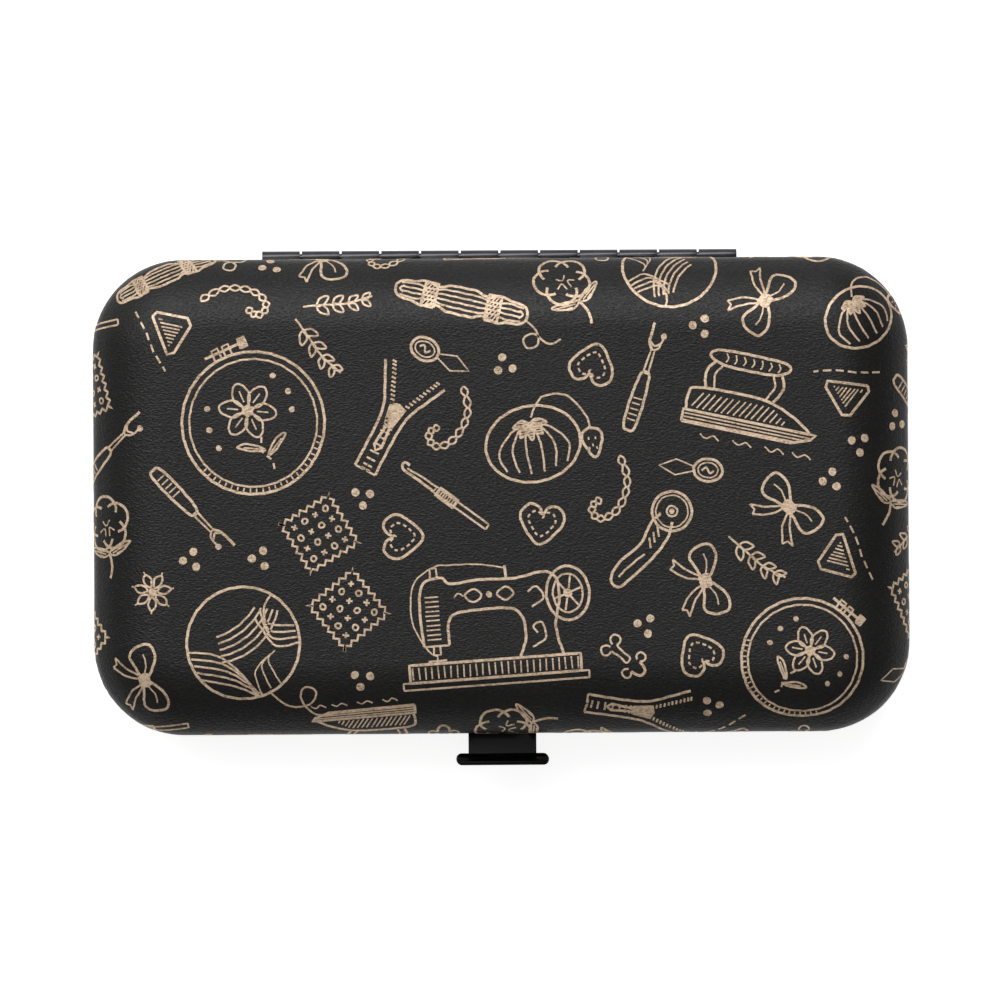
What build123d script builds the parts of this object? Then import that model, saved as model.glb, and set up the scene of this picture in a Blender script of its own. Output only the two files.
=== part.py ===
"""Slim hard-shell sewing kit case.

Two leather-covered half shells sit on pressed steel frames. A continuous hinge joins them along the
back, and a sprung thumb latch holds them shut at the front. Inside, the base has a tool board with
elastic loops, and the lid has a slip pocket and a felt leaf for needles.

Millimetres. X runs along the case, Y from the latch to the hinge, and Z up. The origin is the middle
of the flat face that the closed case lies on. Heights called "above the parting plane" are measured
away from it in either half, so the base is the lid's construction mirrored in that plane.
"""

from build123d import *
from math import atan2, cos, degrees, radians, sin
import os

# Outline of the case and the rounded edge of either half
case_length = 145.0
case_width = 84.5
half_height = 12.5
corner_radius = 16.0
edge_run = 13.0
edge_rise = 8.2
shoulder_radius = 4.0

# Wall of either half, from the outside in
leather = 0.6
shell_board = 1.2
lining = 0.5
rim_round = 0.35

# Pressed steel frames that face each other at the parting plane
frame_gap = 0.2
frame_sheet = 0.5
flange_setback = 0.25

# Continuous hinge
knuckle_count = 12
hinge_length = 85.0
knuckle_gap = 0.35
hinge_sheet = 0.45
pin_diameter = 1.2
pin_clearance = 0.05
hinge_reach = 1.65
hinge_room = 0.3
leaf_bend = 0.4
pin_chamfer = 0.15
leaf_rivet_count = 4

# Rivets
rivet_shank = 1.4
rivet_head = 2.4
rivet_rise = 0.45
rivet_clearance = 0.03

# Thumb latch on the base: pressing its lip down swings the hook off the keeper
latch_sheet = 0.7
tab_width = 12.1
tab_reach = 3.6
lip_width = 16.5
lip_height = 3.3
lip_bend = 0.95
lip_tilt = 72.0
lip_end_radius = 1.0
lip_corner = 1.2
latch_side_room = 0.4
pivot_inset = 1.75
pivot_drop = 1.6
pin_head = 0.5
pin_head_radius = 0.85
eye_width = 7.0
hook_width = 5.0
hook_setback = 0.2
hook_height = 2.1
hook_head = 0.95
tooth_depth = 1.0
tooth_edge = 0.35
tail_drop = 3.0
latch_swing = 13.0
swing_room = 0.35

# Bracket that carries the latch, its return spring, and the keeper on the lid that the hook holds
bracket_foot = 4.4
bracket_tail = 0.8
ear_radius = 1.4
bridge_drop = 3.6
bridge_depth = 2.9
stop_height = 1.4
stop_gap = 0.05
spring_sheet = 0.2
spring_width = 4.0
spring_bend = 0.55
spring_curl = 115.0
spring_rise = 1.2
keeper_sheet = 0.6
keeper_gap = 0.25
keeper_foot = 4.0
keeper_base = 0.7
keeper_height = 2.6
keeper_play = 0.1

# Tool board with two elastic bands, in the base
board_margin = 1.5
board_thickness = 1.2
board_corner = 5.0
band_width = 12.0
band_thickness = 0.7
band_spacing = 27.0
band_seam = 2.6
band_end = 4.5
loop_widths = (12.0, 9.0, 9.0, 9.0, 16.0, 9.0, 9.0, 12.0)
loop_rise = 2.4

# Slip pocket and needle felt, in the lid
pocket_margin = 5.5
pocket_width = 29.0
pocket_height = 3.6
pocket_cloth = 0.6
pocket_slope = 50.0
pocket_corner = 6.0
pocket_hem = 4.0
pocket_hem_cloth = 0.5
pocket_setback = 1.25
felt_length = 72.0
felt_width = 16.0
felt_thickness = 1.4
felt_corner = 2.0
felt_setback = 3.25

# Levels and insets that the pieces share
parting = half_height
parting_plane = Plane.XY.offset(parting)
side_wall = half_height - edge_rise
crown_radius = (edge_run**2 + edge_rise**2 - 2 * edge_run * shoulder_radius) / (
    2 * (edge_rise - shoulder_radius)
)
shoulder_tilt = degrees(atan2(edge_run - shoulder_radius, crown_radius - edge_rise))
corner_x = case_length / 2 - corner_radius
corner_y = case_width / 2 - corner_radius
flat_length = case_length - 2 * edge_run
flat_width = case_width - 2 * edge_run
frame_face = frame_gap / 2
rim = frame_face + frame_sheet
shell_rim = rim + leather
shell_inset = leather + shell_board
hem_inset = shell_inset + leather
frame_inset = hem_inset + frame_sheet
lining_inset = shell_inset + lining
base_floor = lining_inset
lid_ceiling = 2 * half_height - lining_inset
back_y = case_width / 2
front_y = -case_width / 2
past_wall = lip_height + tab_reach
drill_length = 4.0

# Hinge places
pin_radius = pin_diameter / 2
bore_radius = pin_radius + pin_clearance
barrel_radius = bore_radius + hinge_sheet
hinge_y = back_y + hinge_reach - barrel_radius
knuckle_pitch = hinge_length / knuckle_count
leaf_y = back_y - hem_inset
leaf_top = side_wall - hinge_room
hinge_notch = barrel_radius + hinge_room
relief_half_length = hinge_length / 2 + hinge_room
rivet_hole = rivet_shank / 2 + rivet_clearance
leaf_rivet_pitch = hinge_length / leaf_rivet_count
leaf_rivet_x = [(i - (leaf_rivet_count - 1) / 2) * leaf_rivet_pitch for i in range(leaf_rivet_count)]
leaf_rivet_level = (barrel_radius + leaf_top) / 2
leaf_rivet_plane = Plane(
    (0, back_y - frame_inset, parting + leaf_rivet_level), x_dir=(1, 0, 0), z_dir=(0, -1, 0)
)

# Latch places
inner_front = front_y + frame_inset
pivot_y = inner_front + pivot_inset
pivot_z = parting - pivot_drop
eye_radius = bore_radius + latch_sheet
tongue_top = pivot_z + eye_radius
tongue_bottom = tongue_top - latch_sheet
tongue_middle = tongue_top - latch_sheet / 2
hook_back = pivot_y + hook_setback
hook_front = hook_back - latch_sheet
tooth_z = parting + hook_height
tooth_tip = hook_back + tooth_depth
tail_bottom = pivot_z - tail_drop
drop_at_wall = (pivot_y - front_y) * sin(radians(latch_swing))
latch_notch = parting - tongue_bottom + drop_at_wall + swing_room
ear_x = tab_width / 2 + latch_side_room

# Bracket and keeper places
bracket_rivet_x = ear_x + latch_sheet + bracket_foot / 2
bracket_top = parting - frame_face - bracket_tail
bracket_bottom = parting - side_wall
bracket_rivet_plane = Plane(
    (0, inner_front + latch_sheet, (bracket_top + bracket_bottom) / 2), x_dir=(-1, 0, 0), z_dir=(0, 1, 0)
)
bridge_top = pivot_z - bridge_drop
spring_level = bridge_top + spring_sheet / 2
pin_head_x = ear_x + latch_sheet + pin_head / 2
stop_back = hook_front - stop_gap
stop_front = stop_back - latch_sheet
keeper_y = hook_back + keeper_gap
keeper_arm_x = ear_x + latch_side_room
keeper_rivet_x = keeper_arm_x + keeper_sheet + keeper_foot / 2
keeper_low = parting + keeper_base
keeper_top = keeper_low + keeper_height
keeper_rivet_plane = Plane(
    (0, inner_front + keeper_sheet, (keeper_low + keeper_top) / 2), x_dir=(-1, 0, 0), z_dir=(0, 1, 0)
)


def edge_profile(inset, floor):
    """Half section of the lid half: x from a corner's axis outwards, y above the parting plane."""
    with BuildSketch() as section:
        with BuildLine():
            CenterArc(
                (corner_radius - shoulder_radius, side_wall), shoulder_radius - inset, 0, 90 - shoulder_tilt
            )
            CenterArc(
                (corner_radius - edge_run, half_height - crown_radius),
                crown_radius - inset,
                90 - shoulder_tilt,
                shoulder_tilt,
            )
            Polyline(
                (corner_radius - edge_run, half_height - inset),
                (0, half_height - inset),
                (0, floor),
                (corner_radius - inset, floor),
                (corner_radius - inset, side_wall),
            )
        make_face()
    return section.sketch


def carried_round(section, flat_low, flat_high):
    """Solid that carries a section round the lid's outline and fills the middle between two heights."""
    corner = (corner_x, corner_y, parting)
    with BuildPart() as solid:
        with BuildSketch(Plane(corner, x_dir=(1, 0, 0), z_dir=(0, -1, 0))) as end_side:
            add(section)
        extrude(amount=corner_y)
        revolve(end_side.sketch, axis=Axis(corner, (0, 0, 1)), revolution_arc=90)
        with BuildSketch(Plane(corner, x_dir=(0, 1, 0), z_dir=(1, 0, 0))):
            add(section)
        extrude(amount=-corner_x)
        with BuildSketch(Plane.XY.offset(parting + flat_low)):
            Rectangle(corner_x, corner_y, align=(Align.MIN, Align.MIN))
        extrude(amount=flat_high - flat_low)
        mirror(about=Plane.YZ)
        mirror(about=Plane.XZ)
    return solid.part


def block(low, high):
    """Box between two corners."""
    with BuildPart() as box:
        with Locations(((low[0] + high[0]) / 2, (low[1] + high[1]) / 2, (low[2] + high[2]) / 2)):
            Box(high[0] - low[0], high[1] - low[1], high[2] - low[2])
    return box.part


def rivets(plane, places, length):
    """Rivets with bevelled heads on a plane at the given places and shanks that run back from it."""
    with BuildPart() as rivet:
        with BuildSketch(Plane.XZ):
            with BuildLine():
                Polyline(
                    (0, rivet_rise),
                    (0, -length),
                    (rivet_shank / 2, -length),
                    (rivet_shank / 2, 0),
                    (rivet_head / 2, 0),
                    (rivet_head / 2, rivet_rise / 3),
                    (rivet_shank / 2, rivet_rise),
                    close=True,
                )
            make_face()
        revolve(axis=Axis.Z)
    with BuildPart() as group:
        with Locations(plane):
            with Locations(places):
                add(rivet.part)
    return group.part


# Reliefs where the hinge leaves and the latch pass through the walls
hinge_relief = block(
    (-relief_half_length, leaf_y, parting - hinge_notch),
    (relief_half_length, back_y + past_wall, parting + hinge_notch),
)
hem_relief = block(
    (-relief_half_length, leaf_y, parting),
    (relief_half_length, back_y - shell_inset, parting + side_wall),
)
latch_relief = block(
    (-ear_x, front_y - past_wall, parting - latch_notch),
    (ear_x, inner_front + past_wall, parting),
)

# Leather cover, turned round the rim and hemmed inside the shell
with BuildSketch() as cover_section:
    add(edge_profile(0, rim))
    rim_corners = cover_section.vertices().group_by(Axis.Y)[0]
    fillet(rim_corners.sort_by(Axis.X)[-1], rim_round)
    add(edge_profile(leather, shell_rim), mode=Mode.SUBTRACT)
    with Locations((0, rim)):
        Rectangle(corner_radius - hem_inset, leather, align=(Align.MIN, Align.MIN), mode=Mode.SUBTRACT)
    with Locations((corner_radius - hem_inset, rim)):
        Rectangle(leather, side_wall - rim, align=(Align.MIN, Align.MIN))

with BuildPart() as lid_cover:
    add(carried_round(cover_section.sketch, half_height - leather, half_height))
    add(hem_relief, mode=Mode.SUBTRACT)
    add(hinge_relief, mode=Mode.SUBTRACT)
lid_cover.part.label = "lid_cover"

with BuildPart() as base_cover:
    add(mirror(lid_cover.part, about=parting_plane))
    add(latch_relief, mode=Mode.SUBTRACT)
base_cover.part.label = "base_cover"

# Moulded shell inside the leather
with BuildSketch() as shell_section:
    add(edge_profile(leather, shell_rim))
    add(edge_profile(shell_inset, rim), mode=Mode.SUBTRACT)

with BuildPart() as lid_shell:
    add(carried_round(shell_section.sketch, half_height - shell_inset, half_height - leather))
    add(hinge_relief, mode=Mode.SUBTRACT)
lid_shell.part.label = "lid_shell"

with BuildPart() as base_shell:
    add(mirror(lid_shell.part, about=parting_plane))
    add(latch_relief, mode=Mode.SUBTRACT)
base_shell.part.label = "base_shell"

# Cloth lining that dresses the inside of the shell above the frame
with BuildSketch() as lining_section:
    add(edge_profile(shell_inset, rim))
    add(edge_profile(lining_inset, frame_face), mode=Mode.SUBTRACT)
    with Locations((0, rim)):
        Rectangle(corner_radius, side_wall - rim, align=(Align.MIN, Align.MIN), mode=Mode.SUBTRACT)

with BuildPart() as lid_lining:
    add(carried_round(lining_section.sketch, half_height - lining_inset, half_height - shell_inset))
lid_lining.part.label = "lid_lining"

with BuildPart() as base_lining:
    add(mirror(lid_lining.part, about=parting_plane))
base_lining.part.label = "base_lining"

# Pressed frame: a flange under the rim and a wall inside the hem
with BuildPart() as frame_blank:
    for outer, low, high in ((flange_setback, frame_face, rim), (hem_inset, rim, side_wall)):
        with BuildSketch(Plane.XY.offset(parting + low)):
            for inset, mode in ((outer, Mode.ADD), (frame_inset, Mode.SUBTRACT)):
                RectangleRounded(
                    case_length - 2 * inset, case_width - 2 * inset, corner_radius - inset, mode=mode
                )
        extrude(amount=high - low)
    with BuildSketch(Plane.XY.offset(parting)):
        with Locations((0, leaf_y)):
            Rectangle(2 * relief_half_length, past_wall, align=(Align.CENTER, Align.MIN))
    extrude(amount=rim, mode=Mode.SUBTRACT)
    with Locations(leaf_rivet_plane):
        with Locations([(x, 0) for x in leaf_rivet_x]):
            Cylinder(rivet_hole, drill_length, mode=Mode.SUBTRACT)

with BuildPart() as lid_frame:
    add(frame_blank.part)
    with Locations(keeper_rivet_plane):
        with Locations((-keeper_rivet_x, 0), (keeper_rivet_x, 0)):
            Cylinder(rivet_hole, drill_length, mode=Mode.SUBTRACT)
lid_frame.part.label = "lid_frame"

with BuildPart() as base_frame:
    add(mirror(frame_blank.part, about=parting_plane))
    with BuildSketch(Plane.XY.offset(parting)):
        with Locations((0, front_y)):
            Rectangle(2 * ear_x, 2 * frame_inset, align=(Align.CENTER, Align.CENTER))
    extrude(amount=-latch_notch, mode=Mode.SUBTRACT)
    with Locations(bracket_rivet_plane):
        with Locations((-bracket_rivet_x, 0), (bracket_rivet_x, 0)):
            Cylinder(rivet_hole, drill_length, mode=Mode.SUBTRACT)
base_frame.part.label = "base_frame"


def hinge_leaf(first_knuckle):
    """Lid-side leaf whose rolled knuckles are every second one from first_knuckle."""
    web_end = -(barrel_radius + hinge_room)
    plate = leaf_y - hinge_y
    section_plane = Plane((-hinge_length / 2, hinge_y, parting), x_dir=(0, 1, 0), z_dir=(1, 0, 0))
    starts = [i * knuckle_pitch + knuckle_gap / 2 for i in range(first_knuckle, knuckle_count, 2)]
    with BuildPart() as leaf:
        with BuildSketch(section_plane) as strip:
            with BuildLine():
                Polyline(
                    (web_end, barrel_radius),
                    (plate + hinge_sheet, barrel_radius),
                    (plate + hinge_sheet, leaf_top),
                    (plate, leaf_top),
                    (plate, bore_radius),
                    (web_end, bore_radius),
                    close=True,
                )
            make_face()
        extrude(amount=hinge_length)
        bend = leaf.edges().filter_by(Axis.X).sort_by(Axis.Z).group_by(Axis.Z)[0].sort_by(Axis.Y)[0]
        fillet(bend, leaf_bend)
        with BuildSketch(*[section_plane.offset(start) for start in starts]):
            Circle(barrel_radius)
            with Locations((0, bore_radius)):
                Rectangle(-web_end, hinge_sheet, align=(Align.MAX, Align.MIN))
            Circle(bore_radius, mode=Mode.SUBTRACT)
        extrude(amount=knuckle_pitch - knuckle_gap)
        with Locations(leaf_rivet_plane):
            with Locations([(x, 0) for x in leaf_rivet_x]):
                Cylinder(rivet_hole, drill_length, mode=Mode.SUBTRACT)
    return leaf.part


lid_hinge_leaf_form = hinge_leaf(0)
base_hinge_leaf_form = hinge_leaf(1)

with BuildPart() as lid_hinge_leaf:
    add(lid_hinge_leaf_form)
lid_hinge_leaf.part.label = "lid_hinge_leaf"

with BuildPart() as base_hinge_leaf:
    add(mirror(base_hinge_leaf_form, about=parting_plane))
base_hinge_leaf.part.label = "base_hinge_leaf"

with BuildPart() as hinge_pin:
    with Locations(Plane((0, hinge_y, parting), z_dir=(1, 0, 0))):
        Cylinder(pin_radius, hinge_length - knuckle_gap)
    chamfer(hinge_pin.edges().filter_by(GeomType.CIRCLE), pin_chamfer)
hinge_pin.part.label = "hinge_pin"

# Rivets through frame and leaf, their heads on the inside of the case
with BuildPart() as lid_leaf_rivets:
    add(rivets(leaf_rivet_plane, [(x, 0) for x in leaf_rivet_x], frame_sheet + hinge_sheet))
lid_leaf_rivets.part.label = "lid_leaf_rivets"

with BuildPart() as base_leaf_rivets:
    add(mirror(lid_leaf_rivets.part, about=parting_plane))
base_leaf_rivets.part.label = "base_leaf_rivets"

# Latch lever: an eye on the pivot, a tongue through the wall, a hook, a tail, and the lip outside
with BuildSketch(Plane.YZ) as lip_section:
    with BuildLine() as lip_line:
        lip_curl = JernArc((front_y - tab_reach, tongue_middle), (-1, 0), lip_bend, -lip_tilt)
        rise = (lip_height - lip_bend * (1 - cos(radians(lip_tilt)))) / sin(radians(lip_tilt))
        Line(lip_curl @ 1, (lip_curl @ 1) + (lip_curl % 1) * rise)
    trace(line_width=latch_sheet)
lip_low_y = lip_section.sketch.bounding_box().min.Y
lip_depth = front_y - tab_reach - lip_low_y

with BuildPart() as latch_lip:
    extrude(lip_section.sketch, amount=lip_width / 2, both=True)
    with BuildSketch(Plane.XZ.offset(-front_y)):
        with Locations((0, lip_section.sketch.bounding_box().max.Z)):
            RectangleRounded(lip_width, 2 * lip_height, lip_corner, align=(Align.CENTER, Align.MAX))
    extrude(amount=2 * past_wall, mode=Mode.INTERSECT)
    with BuildSketch(Plane.XY.offset(tongue_bottom - latch_sheet)):
        with Locations((0, lip_low_y)):
            RectangleRounded(lip_width, 2 * lip_depth, lip_end_radius, align=(Align.CENTER, Align.MIN))
    extrude(amount=2 * (lip_height + latch_sheet), mode=Mode.INTERSECT)

with BuildPart() as latch_lever:
    with BuildSketch(Plane.YZ):
        with Locations((pivot_y, pivot_z)):
            Circle(eye_radius)
        with Locations((pivot_y, tongue_bottom)):
            Rectangle(pivot_y - inner_front, latch_sheet, align=(Align.MAX, Align.MIN))
        with Locations((pivot_y, pivot_z)):
            Circle(bore_radius, mode=Mode.SUBTRACT)
    extrude(amount=eye_width / 2, both=True)
    with BuildSketch(Plane.YZ):
        with Locations((inner_front, tongue_bottom)):
            Rectangle(frame_inset + tab_reach, latch_sheet, align=(Align.MAX, Align.MIN))
    extrude(amount=tab_width / 2, both=True)
    with BuildSketch(Plane.YZ):
        with BuildLine():
            Polyline(
                (hook_front, tongue_middle),
                (hook_front, tooth_z + hook_head),
                (hook_front + latch_sheet / 2, tooth_z + hook_head),
                (tooth_tip, tooth_z + tooth_edge),
                (tooth_tip, tooth_z),
                (hook_back, tooth_z),
                (hook_back, tongue_middle),
                close=True,
            )
        make_face()
        with BuildLine():
            Polyline(
                (hook_front, tail_bottom),
                (hook_back, tail_bottom),
                (hook_back, pivot_z),
                (hook_front, pivot_z),
                close=True,
            )
        make_face()
        with Locations((pivot_y, pivot_z)):
            Circle(eye_radius - latch_sheet / 2, mode=Mode.SUBTRACT)
    extrude(amount=hook_width / 2, both=True)
    add(latch_lip.part)
latch_lever.part.label = "latch_lever"

with BuildPart() as latch_pin:
    with Locations(Plane((0, pivot_y, pivot_z), z_dir=(1, 0, 0))):
        Cylinder(pin_radius, 2 * (ear_x + latch_sheet))
        with Locations((0, 0, pin_head_x), (0, 0, -pin_head_x)):
            Cylinder(pin_head_radius, pin_head)
latch_pin.part.label = "latch_pin"

# Bracket: two feet on the frame, two ears for the pin, a bridge under the lever and a stop for its tail
with BuildPart() as latch_bracket:
    for side in (-1, 1):
        with BuildSketch(Plane.YZ.offset(side * (ear_x + latch_sheet / 2))):
            with Locations((pivot_y, pivot_z)):
                Circle(ear_radius)
            with BuildLine():
                Polyline(
                    (inner_front, bracket_bottom),
                    (inner_front, bracket_top),
                    (pivot_y, pivot_z + ear_radius),
                    (pivot_y + ear_radius, pivot_z),
                    (stop_front + bridge_depth, bridge_top),
                    (stop_front + bridge_depth, bridge_top - latch_sheet),
                    (stop_front, bridge_top - latch_sheet),
                    close=True,
                )
            make_face()
        extrude(amount=latch_sheet / 2, both=True)
        with BuildSketch(Plane.XZ.offset(-inner_front)):
            with Locations((side * (bracket_rivet_x - latch_sheet / 2), bracket_bottom)):
                Rectangle(
                    bracket_foot + latch_sheet, bracket_top - bracket_bottom, align=(Align.CENTER, Align.MIN)
                )
        extrude(amount=-latch_sheet)
    with BuildSketch(Plane.YZ):
        with Locations((stop_front, bridge_top)):
            Rectangle(bridge_depth, latch_sheet, align=(Align.MIN, Align.MAX))
    extrude(amount=ear_x + latch_sheet, both=True)
    with BuildSketch(Plane.YZ):
        with Locations((stop_front, bridge_top - latch_sheet)):
            Rectangle(latch_sheet, stop_height + latch_sheet, align=(Align.MIN, Align.MIN))
    extrude(amount=hook_width / 2, both=True)
    with Locations(Plane((0, pivot_y, pivot_z), z_dir=(1, 0, 0))):
        Cylinder(bore_radius, 3 * ear_x, mode=Mode.SUBTRACT)
    with Locations(bracket_rivet_plane):
        with Locations((-bracket_rivet_x, 0), (bracket_rivet_x, 0)):
            Cylinder(rivet_hole, drill_length, mode=Mode.SUBTRACT)
latch_bracket.part.label = "latch_bracket"

with BuildPart() as bracket_rivets:
    add(
        rivets(
            bracket_rivet_plane, [(-bracket_rivet_x, 0), (bracket_rivet_x, 0)], frame_sheet + latch_sheet
        )
    )
bracket_rivets.part.label = "bracket_rivets"

# Return spring: a strip welded to the bridge and curled up behind the lever's tail
with BuildPart() as latch_spring:
    with BuildSketch(Plane.YZ):
        with BuildLine():
            foot = Line((stop_back, spring_level), (hook_back + spring_sheet, spring_level))
            curl = JernArc(foot @ 1, (1, 0), spring_bend, spring_curl)
            Line(curl @ 1, (curl @ 1) + (curl % 1) * spring_rise)
        trace(line_width=spring_sheet)
    extrude(amount=spring_width / 2, both=True)
latch_spring.part.label = "latch_spring"

# Keeper: a strip bent round the hook, cut down in the middle where the tooth closes over it
with BuildPart() as latch_keeper:
    with BuildSketch(Plane.XY.offset(keeper_low)):
        with BuildLine():
            Polyline(
                (-keeper_arm_x - keeper_foot, inner_front + keeper_sheet / 2),
                (-keeper_arm_x, inner_front + keeper_sheet / 2),
                (-keeper_arm_x, keeper_y + keeper_sheet / 2),
                (keeper_arm_x, keeper_y + keeper_sheet / 2),
                (keeper_arm_x, inner_front + keeper_sheet / 2),
                (keeper_arm_x + keeper_foot, inner_front + keeper_sheet / 2),
            )
        trace(line_width=keeper_sheet)
    extrude(amount=keeper_height)
    with BuildSketch(Plane.XY.offset(tooth_z - keeper_play)):
        with Locations((0, keeper_y)):
            Rectangle(hook_width + 2 * latch_side_room, drill_length)
    extrude(amount=keeper_height, mode=Mode.SUBTRACT)
    with Locations(keeper_rivet_plane):
        with Locations((-keeper_rivet_x, 0), (keeper_rivet_x, 0)):
            Cylinder(rivet_hole, drill_length, mode=Mode.SUBTRACT)
latch_keeper.part.label = "latch_keeper"

with BuildPart() as keeper_rivets:
    add(
        rivets(
            keeper_rivet_plane, [(-keeper_rivet_x, 0), (keeper_rivet_x, 0)], frame_sheet + keeper_sheet
        )
    )
keeper_rivets.part.label = "keeper_rivets"

# Tool board on the base's floor
board_length = flat_length - 2 * board_margin
board_width = flat_width - 2 * board_margin
loops = list(loop_widths)
while sum(loops) + band_seam * (len(loops) - 1) + 2 * band_end > board_length - band_end / 2:
    loops.pop()
band_length = sum(loops) + band_seam * (len(loops) - 1) + 2 * band_end
band_rivet_x = (band_length - band_end) / 2
band_top = base_floor + board_thickness + band_thickness
band_rivet_places = [
    (x, y) for y in (-band_spacing / 2, band_spacing / 2) for x in (-band_rivet_x, band_rivet_x)
]
band_rivet_plane = Plane.XY.offset(band_top)

with BuildPart() as tool_board:
    with BuildSketch(Plane.XY.offset(base_floor)):
        RectangleRounded(board_length, board_width, board_corner)
        with Locations(band_rivet_places):
            Circle(rivet_hole, mode=Mode.SUBTRACT)
    extrude(amount=board_thickness)
tool_board.part.label = "tool_board"

# Elastic band along the board: flat seams with a raised loop between each two
with BuildPart() as band_blank:
    with BuildSketch(Plane((0, 0, band_top - band_thickness), x_dir=(1, 0, 0), z_dir=(0, -1, 0))):
        left = -band_length / 2 + band_end
        seam_foot = band_thickness / 2
        for width in loops:
            loop_radius = (width**2 / 4 + loop_rise**2) / (2 * loop_rise)
            with Locations((left + width / 2, loop_rise - loop_radius)):
                Circle(loop_radius)
                Circle(loop_radius - band_thickness, mode=Mode.SUBTRACT)
            left += width + band_seam
        Rectangle(band_length, 4 * max(loops), align=(Align.CENTER, Align.MAX), mode=Mode.SUBTRACT)
        left = -band_length / 2 + band_end
        for width in loops:
            with Locations((left - band_seam - seam_foot, 0)):
                Rectangle(band_seam + 2 * seam_foot, band_thickness, align=(Align.MIN, Align.MIN))
            left += width + band_seam
        for side, align in ((-1, Align.MIN), (1, Align.MAX)):
            with Locations((side * band_length / 2, 0)):
                Rectangle(band_end + seam_foot, band_thickness, align=(align, Align.MIN))
    extrude(amount=band_width / 2, both=True)
    with Locations(band_rivet_plane):
        with Locations((-band_rivet_x, 0), (band_rivet_x, 0)):
            Cylinder(rivet_hole, drill_length, mode=Mode.SUBTRACT)

with BuildPart() as front_band:
    with Locations((0, -band_spacing / 2, 0)):
        add(band_blank.part)
front_band.part.label = "front_band"

with BuildPart() as back_band:
    with Locations((0, band_spacing / 2, 0)):
        add(band_blank.part)
back_band.part.label = "back_band"

with BuildPart() as band_rivets:
    add(rivets(band_rivet_plane, band_rivet_places, board_thickness + band_thickness))
band_rivets.part.label = "band_rivets"

# Slip pocket that hangs from the lid's lining, open towards the latch
pocket_length = flat_length - 2 * pocket_margin
pocket_mouth = flat_width / 2 - pocket_setback - pocket_width


def pocket_form(inset):
    """Flat-topped bulge drawn in by inset, twice as wide as the pocket so that its ends slope too."""
    with BuildPart() as bulge:
        with BuildSketch(Plane.XY.offset(lid_ceiling)):
            with Locations((0, pocket_mouth)):
                RectangleRounded(pocket_length - 2 * inset, 2 * (pocket_width - inset), pocket_corner)
        extrude(amount=-(pocket_height - inset), taper=pocket_slope)
    return bulge.part


pocket_outside = pocket_form(0)
pocket_inside = pocket_form(pocket_cloth)
elastic_outside = pocket_form(-pocket_hem_cloth)

with BuildPart() as slip_pocket:
    add(pocket_outside)
    add(pocket_inside, mode=Mode.SUBTRACT)
    with BuildSketch(Plane.XY.offset(lid_ceiling)):
        with Locations((0, pocket_mouth)):
            Rectangle(2 * pocket_length, 2 * pocket_width, align=(Align.CENTER, Align.MAX))
    extrude(amount=-2 * pocket_height, mode=Mode.SUBTRACT)
slip_pocket.part.label = "slip_pocket"

# Elastic binding round the outside of the pocket's mouth
with BuildPart() as pocket_elastic:
    with BuildSketch(Plane.XY.offset(lid_ceiling)):
        with Locations((0, pocket_mouth)):
            Rectangle(2 * pocket_length, pocket_hem, align=(Align.CENTER, Align.MIN))
    extrude(amount=-2 * pocket_height)
    add(elastic_outside, mode=Mode.INTERSECT)
    add(pocket_outside, mode=Mode.SUBTRACT)
pocket_elastic.part.label = "pocket_elastic"

# Needle felt on the lid's lining, in front of the pocket
with BuildPart() as needle_felt:
    with BuildSketch(Plane.XY.offset(lid_ceiling)):
        with Locations((0, felt_setback - flat_width / 2)):
            RectangleRounded(felt_length, felt_width, felt_corner, align=(Align.CENTER, Align.MIN))
    extrude(amount=-felt_thickness)
needle_felt.part.label = "needle_felt"

pieces = (
    lid_cover,
    lid_shell,
    lid_lining,
    lid_frame,
    lid_hinge_leaf,
    lid_leaf_rivets,
    latch_keeper,
    keeper_rivets,
    slip_pocket,
    pocket_elastic,
    needle_felt,
    base_cover,
    base_shell,
    base_lining,
    base_frame,
    base_hinge_leaf,
    base_leaf_rivets,
    hinge_pin,
    latch_lever,
    latch_pin,
    latch_bracket,
    bracket_rivets,
    latch_spring,
    tool_board,
    front_band,
    back_band,
    band_rivets,
)

os.makedirs("parts", exist_ok=True)
for piece in pieces:
    export_step(piece.part, f"parts/{piece.part.label}.step")
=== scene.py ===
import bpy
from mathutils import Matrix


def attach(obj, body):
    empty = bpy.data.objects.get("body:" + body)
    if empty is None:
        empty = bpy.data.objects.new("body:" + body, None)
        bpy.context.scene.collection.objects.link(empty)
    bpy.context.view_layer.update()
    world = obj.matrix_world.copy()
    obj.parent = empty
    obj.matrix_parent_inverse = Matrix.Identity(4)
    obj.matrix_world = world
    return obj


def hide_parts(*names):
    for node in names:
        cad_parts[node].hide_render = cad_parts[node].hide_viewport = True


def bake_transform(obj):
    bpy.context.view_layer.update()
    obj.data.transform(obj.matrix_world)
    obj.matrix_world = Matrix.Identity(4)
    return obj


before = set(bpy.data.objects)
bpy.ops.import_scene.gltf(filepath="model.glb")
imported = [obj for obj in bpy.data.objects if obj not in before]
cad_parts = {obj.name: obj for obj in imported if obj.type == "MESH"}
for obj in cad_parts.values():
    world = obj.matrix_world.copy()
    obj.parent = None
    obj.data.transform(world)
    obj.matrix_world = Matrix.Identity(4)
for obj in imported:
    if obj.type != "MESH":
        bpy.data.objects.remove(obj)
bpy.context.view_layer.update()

"""Dressing of a slim hard-shell sewing kit case.

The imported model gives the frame: hinge, latch, frames and shells stay or are copied with softened
edges, and the leather, cloth, elastic and felt are built here. Everything is in metres in the
model's own frame: X along the case, Y from the latch to the hinge, Z up.
"""

import logging
import math
import random
from dataclasses import dataclass, field
from enum import Enum
from functools import cached_property
from itertools import cycle
from typing import Callable, Iterable, Sequence

import bmesh
import bpy
from mathutils import Matrix, Vector

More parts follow.
